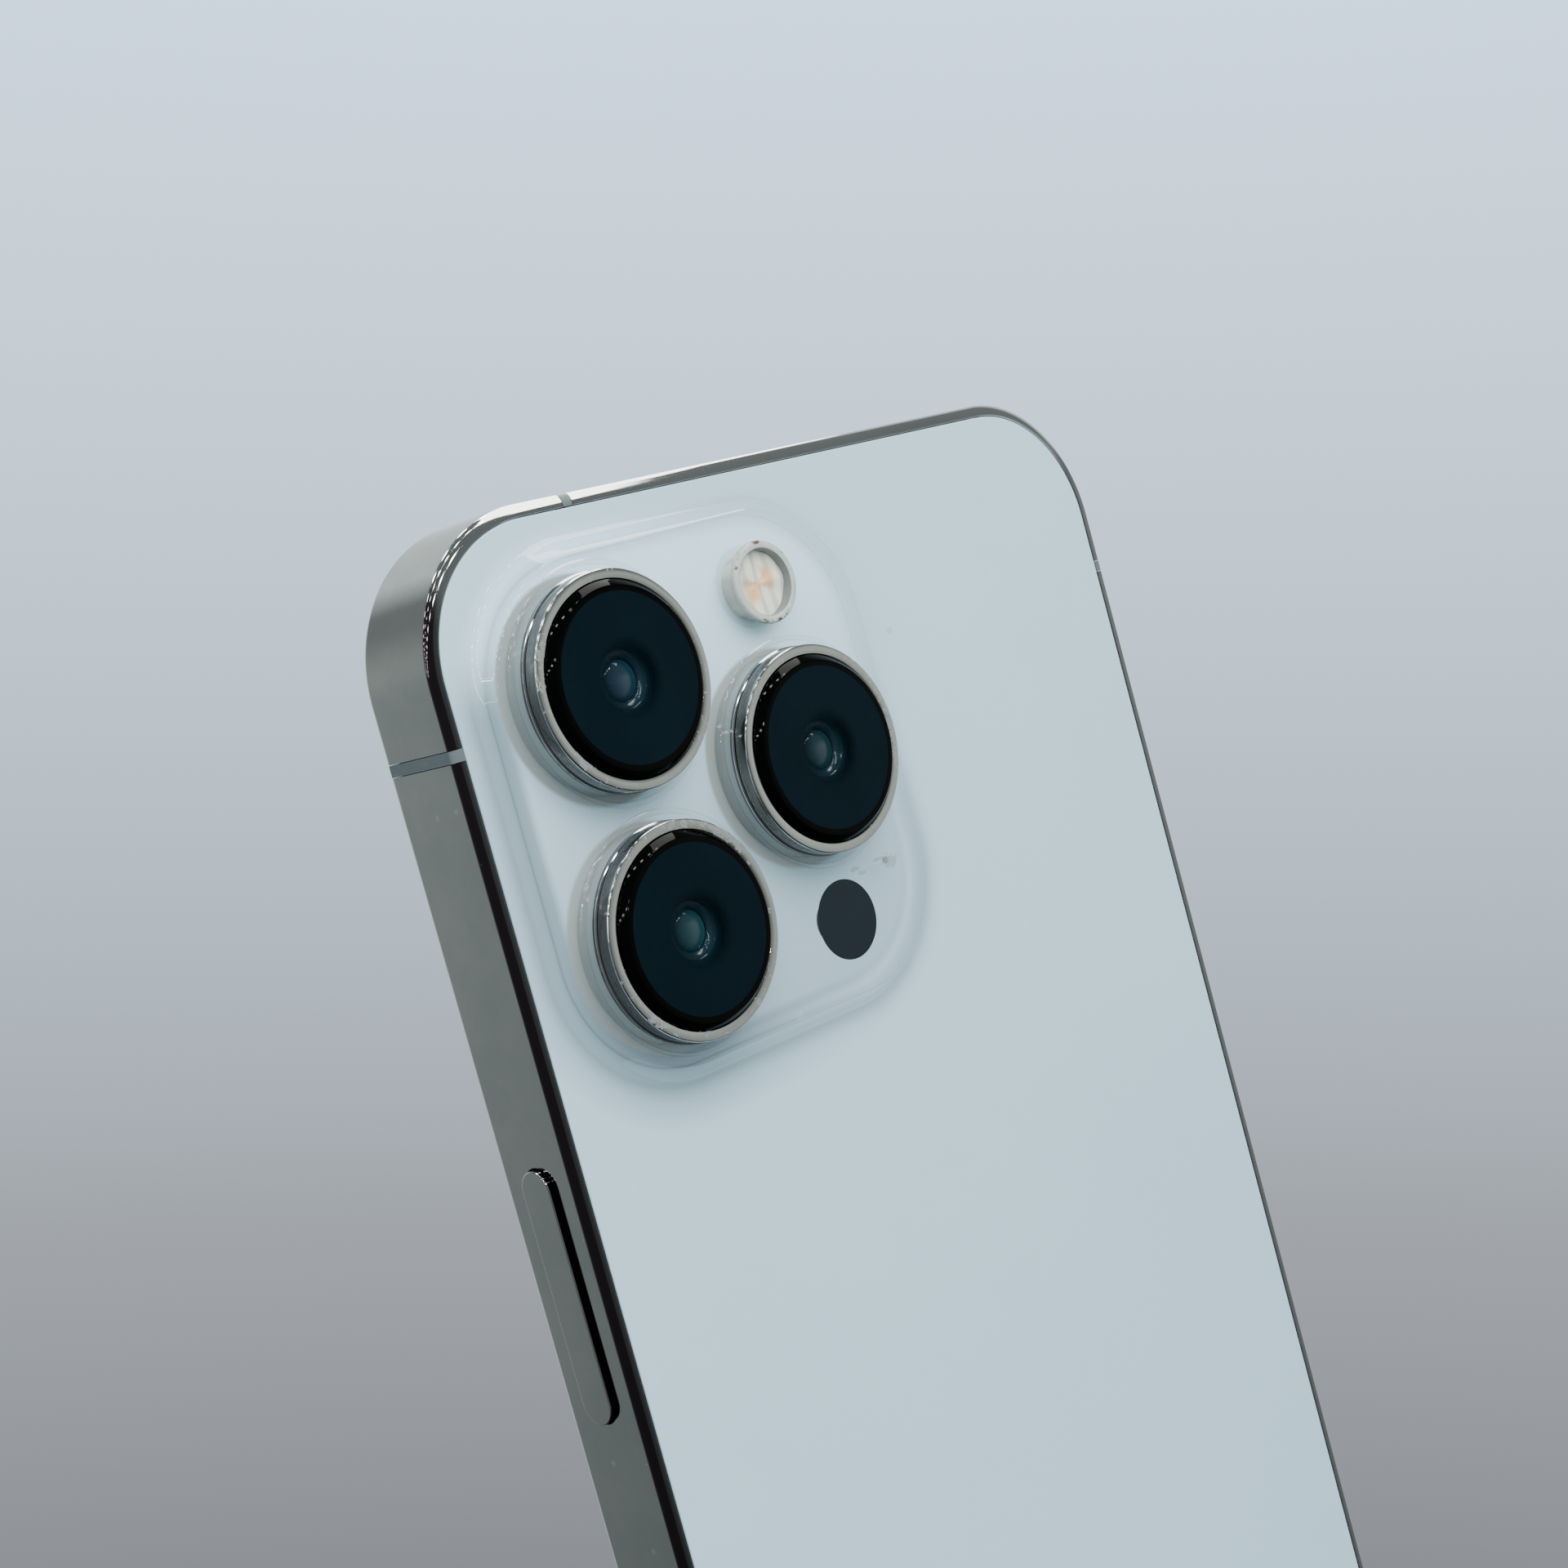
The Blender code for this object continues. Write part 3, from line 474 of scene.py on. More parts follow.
def skin(build, rings, close=True, material_index=0, wrap=True):
    """Joins rings of points, all with the same count, by quads, and closes both ends."""
    rows = [[build.verts.new(p) for p in ring] for ring in rings]
    count = len(rows[0])
    for first, second in zip(rows, rows[1:]):
        for i in range(count if wrap else count - 1):
            j = (i + 1) % count
            build.faces.new((first[i], first[j], second[j], second[i])).material_index = material_index
    if close:
        for row in (rows[0], rows[-1]):
            build.faces.new(row).material_index = material_index
    return rows


def stack(levels):
    """Rings of points for skin(): each level is (outline, height)."""
    return [[point(u, v, high) for u, v in outline] for outline, high in levels]


def shell(name, rings, looks, **rest):
    """A piece skinned over rings of points."""
    build = bmesh.new()
    skin(build, rings)
    return finish_piece(name, build, looks, **rest)


def slab(name, levels, looks, **rest):
    return shell(name, stack(levels), looks, **rest)


def turned(name, centre, profile, looks, steps=128, body=BODY, **rest):
    """A turned piece: profile is a closed or capped run of (radius, height)."""
    build = bmesh.new()
    add_turned(build, centre, profile, steps)
    return finish_piece(name, build, looks, body=body, **rest)


def add_turned(build, centre, profile, steps=128, index=0):
    rows = []
    for radius, high in profile:
        if radius < 1e-6:
            rows.append([build.verts.new(point(centre[0], centre[1], high))] * steps)
        else:
            rows.append([build.verts.new(point(u, v, high)) for u, v in circle(centre, radius, steps)])
    for first, second in zip(rows, rows[1:]):
        for i in range(steps):
            j = (i + 1) % steps
            corner = list(dict.fromkeys((first[i], first[j], second[j], second[i])))
            if len(corner) > 2:
                build.faces.new(corner).material_index = index
    return rows


def boolean(piece, cutters):
    """Cuts closed meshes, each a list of rings, out of a piece, for good."""
    build = bmesh.new()
    for rings in cutters:
        part = bmesh.new()
        skin(part, rings)
        bmesh.ops.recalc_face_normals(part, faces=part.faces)
        mesh = bpy.data.meshes.new("one_cutter")
        part.to_mesh(mesh)
        part.free()
        build.from_mesh(mesh)
        bpy.data.meshes.remove(mesh)
    mesh = bpy.data.meshes.new("cutter")
    build.to_mesh(mesh)
    build.free()
    cutter = bpy.data.objects.new("cutter", mesh)
    bpy.context.scene.collection.objects.link(cutter)
    modifier = piece.modifiers.new("cut", "BOOLEAN")
    modifier.object, modifier.solver, modifier.operation = cutter, "EXACT", "DIFFERENCE"
    while piece.modifiers[0] != modifier:
        piece.modifiers.move(len(piece.modifiers) - 1, 0)
    shading = [m for m in piece.modifiers if m != modifier]
    for m in shading:
        m.show_viewport = False
    bpy.context.view_layer.update()
    result = bpy.data.meshes.new_from_object(piece.evaluated_get(bpy.context.evaluated_depsgraph_get()))
    piece.modifiers.remove(modifier)
    for m in shading:
        m.show_viewport = True
    old = piece.data
    piece.data = result
    result.name = old.name + "_cut"
    bpy.data.objects.remove(cutter)
    build = bmesh.new()
    build.from_mesh(result)
    bmesh.ops.dissolve_degenerate(build, edges=build.edges, dist=1e-7)
    for edge in build.edges:
        edge.smooth = len(edge.link_faces) == 2 and edge.calc_face_angle(0.0) < math.radians(32)
    for face in build.faces:
        face.smooth = True
    build.to_mesh(result)
    build.free()
    return piece


# ---------------------------------------------------------------- looks

STEEL = steel_material()
RING_STEEL = ring_material()
WHITE = back_material()
BREAK = varied("break_resin", (0.092, 0.106, 0.105), 0.38, change=0.06, scale=300.0)
BLACK = varied("black_resin", (0.012, 0.012, 0.013), 0.42, change=0.2)
SATIN_BLACK = varied("satin_black", (0.0012, 0.0038, 0.0052), 0.4, change=0.3, scale=500.0, Specular_IOR_Level=0.06)
# The barrels' teal is painted lighter than the satin black, as painted light where the cover shades them
BARREL_TEAL_PAINTED_LIGHT = varied("teal_barrel_painted_light", (0.0050, 0.0175, 0.025), 0.5, change=0.2, scale=500.0, Specular_IOR_Level=0.06)
GASKET = varied("gasket_rubber", (0.02, 0.021, 0.022), 0.7, change=0.2, scale=600.0, bump=0.2)
MESH = varied("woven_mesh", (0.05, 0.05, 0.05), 0.45, metallic=0.8, change=0.3, scale=900.0, bump=0.3)
PALE_MESH = varied("pale_microphone_mesh", (0.24, 0.25, 0.255), 0.5, change=0.3, scale=900.0, bump=0.2)
SHADED_STEEL = varied("shaded_steel", (0.012, 0.012, 0.013), 0.12, metallic=1.0, scale=300.0)
INNER = varied("bead_blasted_steel", (0.42, 0.42, 0.42), 0.36, metallic=1.0, scale=240.0, bump=0.1)
BOARD = varied("board_resist", (0.01, 0.05, 0.035), 0.4, change=0.4, scale=320.0, bump=0.2)
WRAP = varied("battery_film", (0.02, 0.02, 0.022), 0.33, change=0.25, scale=120.0)
COPPER = varied("copper_winding", (0.72, 0.38, 0.22), 0.3, metallic=1.0, scale=420.0, bump=0.2)
RETAINER = varied("dark_retaining_ring", (0.0045, 0.0155, 0.022), 0.10, scale=900.0, spread=0.04)
MAGNET = varied("nickel_magnet", (0.35, 0.35, 0.36), 0.32, metallic=1.0, scale=300.0)
GOLD = varied("gold_contact", (0.85, 0.62, 0.28), 0.25, metallic=1.0, scale=600.0)
CARD = varied("card_plastic", (0.5, 0.5, 0.49), 0.4, change=0.05)


def make_band():
    """The steel band and its plastic breaks: one section carried round the outline in pieces."""
    front, front_round, rear_in, rear_down = -THICK, 0.45, 0.95, 0.56
    # Points (inset, height) round the section, from the front lip over the side to the rear lip and back inside
    section = [(0.95, front + 0.02), (0.90, front)]
    for i in range(13):
        a = math.radians(90 * i / 12)
        section.append((front_round * (1 - math.sin(a)), front + front_round * (1 - math.cos(a))))
    for i in range(24):
        a = math.radians(86 * i / 24)
        section.append((rear_in * (1 - math.cos(a)), rear_down * (math.sin(a) - 1)))
    section.append((0.93, 0.0))
    section += [(0.96, -0.05), (0.96, -0.86), (2.4, -0.86), (2.4, -6.4), (0.96, -6.4)]

    def chain(*parts):
        """Stations (across, down, outward across, outward down) along lines and quarter rounds."""
        found = []
        for kind, *values in parts:
            if kind == "line":
                (u0, v0), (u1, v1), normal = values
                ends = [(u0, v0), (u1, v1)]
                found += [(*p, *normal) for p in (ends if not found else ends[1:])]
            else:
                cu, cv, a0, a1 = values
                steps = 44
                for i in range(steps + 1):
                    a = math.radians(a0 + (a1 - a0) * i / steps)
                    n = (math.cos(a), math.sin(a))
                    if found and i == 0:
                        continue
                    found.append((cu + CORNER * n[0], cv + CORNER * n[1], *n))
        return found

    def swept(name, stations, look, slot):
        build = bmesh.new()
        skin(build, [[point(u - nu * inset, v - nv * inset, high) for inset, high in section]
                     for u, v, nu, nv in stations])
        for face in build.faces[-2:]:  # the two ends
            face.material_index = 1
        return finish_piece(name, build, [look, BLACK], stands_for=name.replace("_piece", ""), slot=slot)

    left, right, up, down = (-1, 0), (1, 0), (0, -1), (0, 1)
    w, h, r, s = WIDTH, HEIGHT, CORNER, SEAM
    (top0, top1), (low0, low1) = TOP_BREAK, BOTTOM_BREAK
    (upper0, upper1), (lower0, lower1) = UPPER_BREAK, LOWER_BREAK
    runs = {
        "band_corner": (("line", (0, upper0), (0, r), left), ("arc", r, r, 180, 270),
                        ("line", (r, 0), (top0, 0), up)),
        "band_top": (("line", (top1, 0), (w - r, 0), up), ("arc", w - r, r, 270, 360),
                     ("line", (w, r), (w, upper0), right)),
        "band_button_side": (("line", (0, lower0), (0, upper1), left),),
        "band_volume_side": (("line", (w, upper1), (w, lower0), right),),
        "band_bottom": (("line", (low0, h), (r, h), down), ("arc", r, h - r, 90, 180),
                        ("line", (0, h - r), (0, lower1), left)),
        "band_bottom_corner": (("line", (w, lower1), (w, h - r), right), ("arc", w - r, h - r, 0, 90),
                               ("line", (w - r, h), (low1, h), down)),
    }
    pieces = {name: swept(f"{name}_piece", chain(*parts), STEEL, "polished_steel") for name, parts in runs.items()}
    for name, a, b, normal in (
            ("top", (top0 + s, 0), (top1 - s, 0), up),
            ("upper_button_side", (0, upper1 - s), (0, upper0 + s), left),
            ("lower_button_side", (0, lower1 - s), (0, lower0 + s), left),
            ("upper_volume_side", (w, upper0 + s), (w, upper1 - s), right),
            ("lower_volume_side", (w, lower0 + s), (w, lower1 - s), right),
            ("bottom", (low1 - s, h), (low0 + s, h), down)):
        swept(f"antenna_break_{name}_piece", [(*a, *normal), (*b, *normal)], BREAK, "break_plastic")
    return pieces


def side_outline(centre_down, centre_high, length, width, steps=14, corner=None):
    """A slot or rounded outline on a side, as points (down, high), or (across, high) on the bottom edge."""
    radius = width / 2 if corner is None else corner
    found = []
    long, wide = length / 2 - radius, width / 2 - radius
    for cd, ch, start in ((long, wide, 0), (-long, wide, 90), (-long, -wide, 180), (long, -wide, 270)):
        for i in range(steps + 1):
            a = math.radians(start + 90 * i / steps)
            found.append((centre_down + cd + radius * math.cos(a), centre_high + ch + radius * math.sin(a)))
    return found


def side_rings(outlines):
    """Rings of points from [(outline of (down, high), across)]."""
    return [[point(across, d, high) for d, high in outline] for outline, across in outlines]


def make_buttons(band):
    """The three buttons and, cut into the band, their slots and those of the switch and the tray."""
    proud, soft, width, play = 0.45, 0.09, 3.0, 0.02
    cut_in, cut_out, slot_gap = -3.0, 0.6, 0.1
    cuts = {"band_button_side": [], "band_volume_side": []}
    for name, body, edge, out, top, bottom in (
            ("side_button", "side_button", 0.0, -1, 44.05, 62.33),
            ("volume_up_button", "volume_up", WIDTH, 1, 40.6, 50.6),
            ("volume_down_button", "volume_down", WIDTH, 1, 53.0, 63.0)):

        def ring(grow, rise):
            return (side_outline((top + bottom) / 2, EDGE_MIDDLE, bottom - top + 2 * grow, width + 2 * grow),
                    edge + out * rise)

        levels = [ring(-play, -1.9), ring(-play, proud - soft)]
        for degrees in (15, 30, 45, 60, 75, 90):
            a = math.radians(degrees)
            levels.append(ring(-play - soft * (1 - math.cos(a)), proud - soft + soft * math.sin(a)))
        build = bmesh.new()
        skin(build, side_rings(levels))
        for face in list(build.faces)[:len(levels[0][0])]:  # the straight wall
            face.material_index = 1
        finish_piece(f"{name}_cap", build, [STEEL, SHADED_STEEL], stands_for=name, slot="polished_steel", body=body)
        cuts["band_button_side" if out < 0 else "band_volume_side"].append(
            side_rings([ring(slot_gap, cut_in), ring(slot_gap, cut_out)]))
    for outline in (side_outline(SWITCH_DOWN, -3.82, 6.0, 3.35, corner=0.8),
                    side_outline(TRAY_DOWN, EDGE_MIDDLE, 15.5, 2.4),
                    side_outline(TRAY_PIN_DOWN, EDGE_MIDDLE, 0.9, 0.9)):
        cuts["band_volume_side"].append(side_rings([(outline, WIDTH + d) for d in (cut_in, cut_out)]))
    for name, cutters in cuts.items():
        boolean(band[name], cutters)


def make_switch():
    """The sliding mute switch: a lever with a finger groove, on a dark bed that shows an orange stripe."""
    length, low, top, corner = 5.7, -5.36, -3.49, 0.6
    width, centre = top - low, (top + low) / 2
    levels = [(side_outline(SWITCH_DOWN, centre, length, width, corner=corner), WIDTH - 1.9)]
    for inset, across in ((0, 0.12), (0.05, 0.22), (0.16, 0.29), (0.3, 0.3), (0.42, 0.26), (0.6, 0.12), (0.8, 0.06)):
        levels.append((side_outline(SWITCH_DOWN, centre, length - 2 * inset, width - 2 * inset,
                                    corner=max(corner - inset, 0.05)), WIDTH + across))
    shell("mute_switch_lever", side_rings(levels), STEEL, stands_for="mute_switch", slot="polished_steel",
          body="mute_switch", sharp=50)
    made, t, shader = material("switch_bed_resin", Roughness=0.5)
    y = t.add("ShaderNodeSeparateXYZ", Vector=t.place()).outputs["Y"]
    stripe = t.math("LESS_THAN", y, (BACK_Y - 4.6) * MM)
    grain = t.mask(SMUDGES, t.place(), Scale=500.0)
    base = t.mix(grain, (0.02, 0.02, 0.021), (0.012, 0.012, 0.012))
    t.set(shader.inputs["Base Color"], t.mix(stripe, base, (0.85, 0.16, 0.02)))
    bed = side_outline(SWITCH_DOWN, -3.82, 6.3, 3.6, corner=0.8)
    shell("mute_switch_bed", side_rings([(bed, WIDTH + d) for d in (-2.35, -1.99)]), made, slot="black_plastic")


def make_tray():
    """The card tray: a rounded face flush with the band, a rubber seal behind it and a frame that holds one card."""
    high = EDGE_MIDDLE

    def rings(*levels):
        return side_rings([(side_outline(TRAY_DOWN, high, length, width), WIDTH - inset)
                           for length, width, inset in levels])

    shell("sim_tray_face", rings((15.26, 2.16, 1.4), (15.26, 2.16, 0.09), (15.2, 2.1, 0.03), (15.08, 1.98, 0.005)),
          STEEL, stands_for="sim_tray", slot="polished_steel", body="sim_tray")
    shell("sim_tray_seal", rings((15.0, 1.9, 2.3), (15.3, 2.2, 2.1), (15.3, 2.2, 1.6), (15.0, 1.9, 1.4)),
          GASKET, slot="black_plastic", body="sim_tray")
    u0, u1, v0, v1 = 51.5, WIDTH - 1.5, 72.9, 85.1
    outer = rounded(u0, u1, v0, v1, 1.2, 8)
    opening = rounded(u0 + 1.5, u1 - 3.2, v0 + 1.3, v1 - 1.3, 0.8, 8)
    ledge = rounded(u0 + 0.9, u1 - 2.6, v0 + 0.7, v1 - 0.7, 0.8, 8)
    low, top = high - 0.33, high + 0.33
    build = bmesh.new()
    skin(build, stack([(opening, high - 0.1), (opening, low), (outer, low), (outer, top), (ledge, top),
                       (ledge, high - 0.1), (opening, high - 0.1)]), close=False)
    finish_piece("sim_tray_frame", build, INNER, slot="polished_steel", body="sim_tray")
    card = rounded(u0 + 1.0, u1 - 2.7, v0 + 0.8, v1 - 0.8, 0.75, 8)
    slab("sim_card", [(card, high - 0.08), (card, high + 0.22)], CARD, body="sim_tray", slot="white_glass")


def make_bottom(band):
    """Port, screws and grille holes in the bottom edge."""
    high, mid = EDGE_MIDDLE, WIDTH / 2

    def rings(outline, depths):
        return [[point(u, HEIGHT + d, h) for u, h in outline] for d in depths]

    def hole(across, radius, steps):
        return rings([(u, h) for u, h in circle((across, high), radius, steps)], (-4.0, 0.6))

    grille = [mid - 12.6 - 2.4 * i for i in range(6)] + [mid + 12.6 + 2.4 * i for i in range(3)]
    screws = {"bottom_screw_speaker_side": mid - 8.0, "bottom_screw_microphone_side": mid + 8.0}
    cutters = [rings(side_outline(mid, high, 8.4, 2.6), (-4.0, 0.6))]
    cutters += [hole(u, 0.75, 28) for u in grille] + [hole(u, 0.86, 32) for u in screws.values()]
    boolean(band["band_bottom"], cutters)
    around = [math.tau * i / 60 for i in range(60)]
    star = [0.36 + 0.09 * math.cos(5 * a) for a in around]
    for node, u in screws.items():
        levels = (([0.78] * 60, -3.0), ([0.78] * 60, -0.22), ([0.72] * 60, -0.15), (star, -0.15),
                  ([r * 0.96 for r in star], -0.6))
        shell(f"{node}_head", [[point(u + r * math.cos(a), HEIGHT + depth, high + r * math.sin(a))
                                for r, a in zip(radii, around)] for radii, depth in levels],
              INNER, stands_for=node, slot="polished_steel")
    # Port: a steel shell with a tongue that carries the contacts
    shell("charging_port_shell", rings(side_outline(mid, high, 8.34, 2.54), (-6.6, -1.2))
          + rings(side_outline(mid, high, 8.0, 2.2), (-1.1, -6.2)), INNER, stands_for="charging_port",
          slot="inner_steel")
    shell("charging_port_tongue", rings(side_outline(mid, high, 6.6, 0.68, corner=0.2), (-6.3, -1.7)), BLACK,
          slot="black_plastic")
    build = bmesh.new()
    for i in range(12):
        u = mid - 2.75 + 0.5 * i
        for sign in (1, -1):
            skin(build, rings([(u - 0.13, high + sign * 0.345), (u + 0.13, high + sign * 0.345),
                               (u + 0.13, high + sign * 0.30), (u - 0.13, high + sign * 0.30)], (-5.6, -2.2)))
    finish_piece("charging_port_contacts", build, GOLD, stands_for="port_contacts", slot="contacts", sharp=20)


def make_back():
    """The white back and the clear sculpted rise over the cameras."""
    inset, sink, soft = 1.03, 0.12, 0.1

    def outline(more):
        gap = inset + more
        return rounded(gap, WIDTH - gap, gap, HEIGHT - gap, CORNER - gap, 32)

    levels = [(outline(0.0), -0.75), (outline(0.0), -sink)]
    for degrees in (20, 40, 60, 80):
        a = math.radians(degrees)
        levels.append((outline(soft * (1 - math.cos(a))), -sink + soft * math.sin(a)))
    levels.append((outline(0.12), -0.015))
    slab("white_back", levels, WHITE, stands_for="rear_glass", slot="white_glass")

    # The rise: a smooth flank from the flat back to the flat top, with openings for rings and flash
    pu0, pu1, pv0, pv1, radius = PLATEAU
    levels, steps = [], 20
    for i in range(steps + 1):
        grow = FLANK * i / steps
        levels.append((rounded(pu0 + grow, pu1 - grow, pv0 + grow, pv1 - grow, radius - grow, 32),
                       smooth_ramp(i / steps, 0.42, 0.24) * RISE))
    build = bmesh.new()
    rows = skin(build, stack(levels), close=False)
    holes = [circle(LENSES[n], 7.6, 96) for n in LENSES] + [circle(FLASH, 3.0, 64)]
    brim = rows[-1]
    edges = [build.edges.get((brim[i], brim[(i + 1) % len(brim)])) for i in range(len(brim))]
    for outline in holes:
        ring = [build.verts.new(point(u, v, RISE)) for u, v in outline]
        edges += [build.edges.new((ring[i], ring[(i + 1) % len(ring)])) for i in range(len(ring))]
    bmesh.ops.triangle_fill(build, use_beauty=True, use_dissolve=False, edges=[e for e in edges if e])
    mesh = finish_piece("camera_rise_glass", build, PLATEAU_GLASS, stands_for="rear_glass", slot="white_glass",
                        sharp=60).data
    if sum(p.normal.y * p.area for p in mesh.polygons) < 0:  # its outer side has to face the rear
        mesh.flip_normals()


def smooth_ramp(t, foot, head):
    """0 to 1 with a long soft foot and a shorter soft head."""
    slope = 1.0 / (1.0 - foot / 2 - head / 2)
    if t < foot:
        return slope * t * t / (2 * foot)
    if t > 1 - head:
        return 1 - slope * (1 - t) ** 2 / (2 * head)
    return slope * (t - foot / 2)


def plateau_material():
    """The clear rise's surface, with dirt round the microphone and three marks beside it."""
    made, t, shader, alpha, front = clear_shell_material("sculpted_clear_glass", (0.97, 0.985, 1.0))
    where = t.place()
    mic = t.mask(SPOT, where, Centre=point(*MIC_DIRT),
                  Radii=(0.0009, 0.004, 0.0006), Ragged=1.1)
    marks = None
    for spot, across, down in RISE_MARKS:
        one = t.mask(SPOT, where, Centre=point(*spot), Radii=(across, 0.004, down), Ragged=0.8)
        marks = one if marks is None else t.math("MAXIMUM", marks, one)
    dirt = t.math("MULTIPLY", t.math("MAXIMUM", mic, marks), front)
    t.set(shader.inputs["Base Color"], t.mix(dirt, (0.97, 0.985, 1.0), (0.10, 0.105, 0.105)))
    t.set(shader.inputs["Metallic"], t.flip(dirt))
    t.set(shader.inputs["Alpha"], t.math("MAXIMUM", alpha, t.math("MULTIPLY", dirt, 0.36)))
    smear = t.mask(SMUDGES, where, Scale=90.0)
    rough = t.math("ADD", t.remap(smear, 0.0, 1.0, 0.01, 0.05), t.math("MULTIPLY", dirt, 0.5))
    t.set(shader.inputs["Roughness"], rough)
    return made


def clear_material(name, tint=(0.97, 0.98, 1.0), gain=1.0, rough=0.01):
    made, t, shader, alpha, _ = clear_shell_material(name, tint, rough)
    t.set(shader.inputs["Alpha"], t.math("MULTIPLY", alpha, gain, clamp=True))
    return made


PLATEAU_GLASS = plateau_material()
CLEAR = clear_material("clear_optic")
CLEAR_BEAD = clear_material("clear_bead", gain=2.2, rough=0.02)


def cover_material(name, centre):
    """Camera cover: clear in the middle, dark teal outside it as a painted reflection of its coating, with a black
    border.
    """
    made, t, shader = material(name, Roughness=0.03, Specular_IOR_Level=0.07)
    where = t.place()
    far = t.radius(where, centre)
    border = t.remap(far, 6.03, 6.09)
    window = t.flip(t.remap(far, 1.5, 3.1))
    smear = t.mask(SMUDGES, where, Scale=150.0)
    # The teal is a painted reflection of the coating
    teal = t.mix(smear, (0.0008, 0.0042, 0.0062), (0.0011, 0.0050, 0.0072))
    t.set(shader.inputs["Base Color"], t.mix(border, teal, (0.0006, 0.0006, 0.0006)))
    t.set(shader.inputs["Roughness"], t.remap(smear, 0.0, 1.0, 0.02, 0.07))
    lens = t.add("ShaderNodeFresnel")
    lens.inputs["IOR"].default_value = 1.45
    clear = t.math("MULTIPLY", lens.outputs[0], t.math("MULTIPLY", t.front(), 0.3))
    t.set(shader.inputs["Alpha"], t.mix_value(window, 1.0, clear))
    return made


def coated_material(name, deep, sheen):
    """A lens element: almost black glass whose coating changes colour towards the edge."""
    made, t, shader = material(name, Roughness=0.02, Specular_IOR_Level=0.5)
    facing = t.add("ShaderNodeLayerWeight", Blend=0.45).outputs["Facing"]
    haze = t.mask(SMUDGES, t.place(), Scale=700.0)
    t.set(shader.inputs["Base Color"], t.mix(t.remap(facing, 0.05, 0.7), deep, sheen))
    t.set(shader.inputs["Roughness"], t.remap(haze, 0.0, 1.0, 0.015, 0.04))
    shader.inputs["Coat Weight"].default_value = 0.3
    shader.inputs["Coat Roughness"].default_value = 0.02
    return made


ELEMENTS = {"main": coated_material("main_element_coating", (0.005, 0.019, 0.024), (0.010, 0.040, 0.044)),
            "tele": coated_material("tele_element_coating", (0.004, 0.015, 0.019), (0.008, 0.027, 0.029)),
            "wide": coated_material("wide_element_coating", (0.004, 0.015, 0.022), (0.010, 0.028, 0.042))}


def arc(radius, high, reach, rise, degrees):
    """Points of an oval round about (radius, high); 0 degrees points outward and 90 up."""
    return [(radius + reach * math.cos(math.radians(a)), high + rise * math.sin(math.radians(a))) for a in degrees]


def make_cameras():
    """Each camera: a steel ring in the clear rise, a black cover over it, and a barrel with its front element."""
    ring = [(6.3, 2.2), (7.02, 2.45), (7.02, 3.36)] + arc(7.11, 3.36, 0.09, 0.08, (150, 120, 90))
    ring += arc(7.66, 3.32, 0.12, 0.12, (90, 72, 54, 36, 18, 0))
    ring += [(7.78, 2.34), (7.70, 2.30), (7.70, 2.22), (7.80, 2.18), (7.87, 2.14), (7.87, 1.86), (7.80, 1.78),
             (7.72, 1.70), (7.72, -0.01), (6.3, -0.01), (6.3, 2.2)]
    foot = (8.55, RISE - 0.03)  # the bead of clear glass round the ring
    bead = [foot] + arc(8.55, RISE - 0.02, 0.24, 0.16, range(0, 181, 15)) + [foot]
    cover = [(0.0, 3.5), (6.7, 3.5), (6.7, 2.9), (6.98, 2.8), (6.98, 3.46), (6.95, 3.55), (6.62, 3.90)]
    cover += arc(6.44, 3.90, 0.12, 0.10, (30, 60)) + [(6.40, 4.0), (6.05, 4.0), (0.0, 4.0)]
    # Barrel: black steps up to the recess that holds the front element
    barrel = [(0.0, -4.6), (4.5, -4.6), (4.5, 2.6), (4.3, 3.05), (2.2, 3.1), (2.15, 3.05), (2.15, 2.3), (0.0, 2.3)]
    # A dark retaining ring, hollowed like a dish, round the front element
    dish = [(2.1, 2.4), (2.1, 3.08)]
    for i in range(9):
        a = math.radians(62 * i / 8)
        dish.append((2.05 - 0.6 * math.sin(a), 2.74 + 0.30 * (1 - (1 - math.cos(a)) / 0.53)))
    bore = dish[-1][0]
    dish += [(bore, 2.4), (2.1, 2.4)]
    radius, brim, top = bore - 0.02, 2.62, 3.04
    dome = [(0.0, 2.35), (radius, 2.35)] + arc(0.0, brim, radius, top - brim, range(0, 90, 9)) + [(0.0, top)]
    for name, centre in LENSES.items():
        turned(f"camera_ring_{name}", centre, ring, RING_STEEL, stands_for=f"lens_ring_{name}",
               slot="polished_steel", sharp=28)
        turned(f"camera_bead_{name}", centre, bead, CLEAR_BEAD, slot="white_glass", sharp=50)
        turned(f"camera_cover_{name}", centre, cover, cover_material(f"camera_cover_glass_{name}", centre),
               stands_for=f"lens_cover_{name}", slot="lens_glass", sharp=24)
        inside = {"steps": 72, "body": f"focus_{name}"}
        turned(f"camera_barrel_{name}", centre, barrel, BARREL_TEAL_PAINTED_LIGHT, stands_for=f"lens_barrel_{name}",
               slot="black_plastic", sharp=20, **inside)
        turned(f"camera_retainer_{name}", centre, dish, RETAINER, slot="lens_glass", sharp=35, **inside)
        turned(f"camera_element_{name}", centre, dome, ELEMENTS[name], slot="lens_glass", sharp=40, **inside)


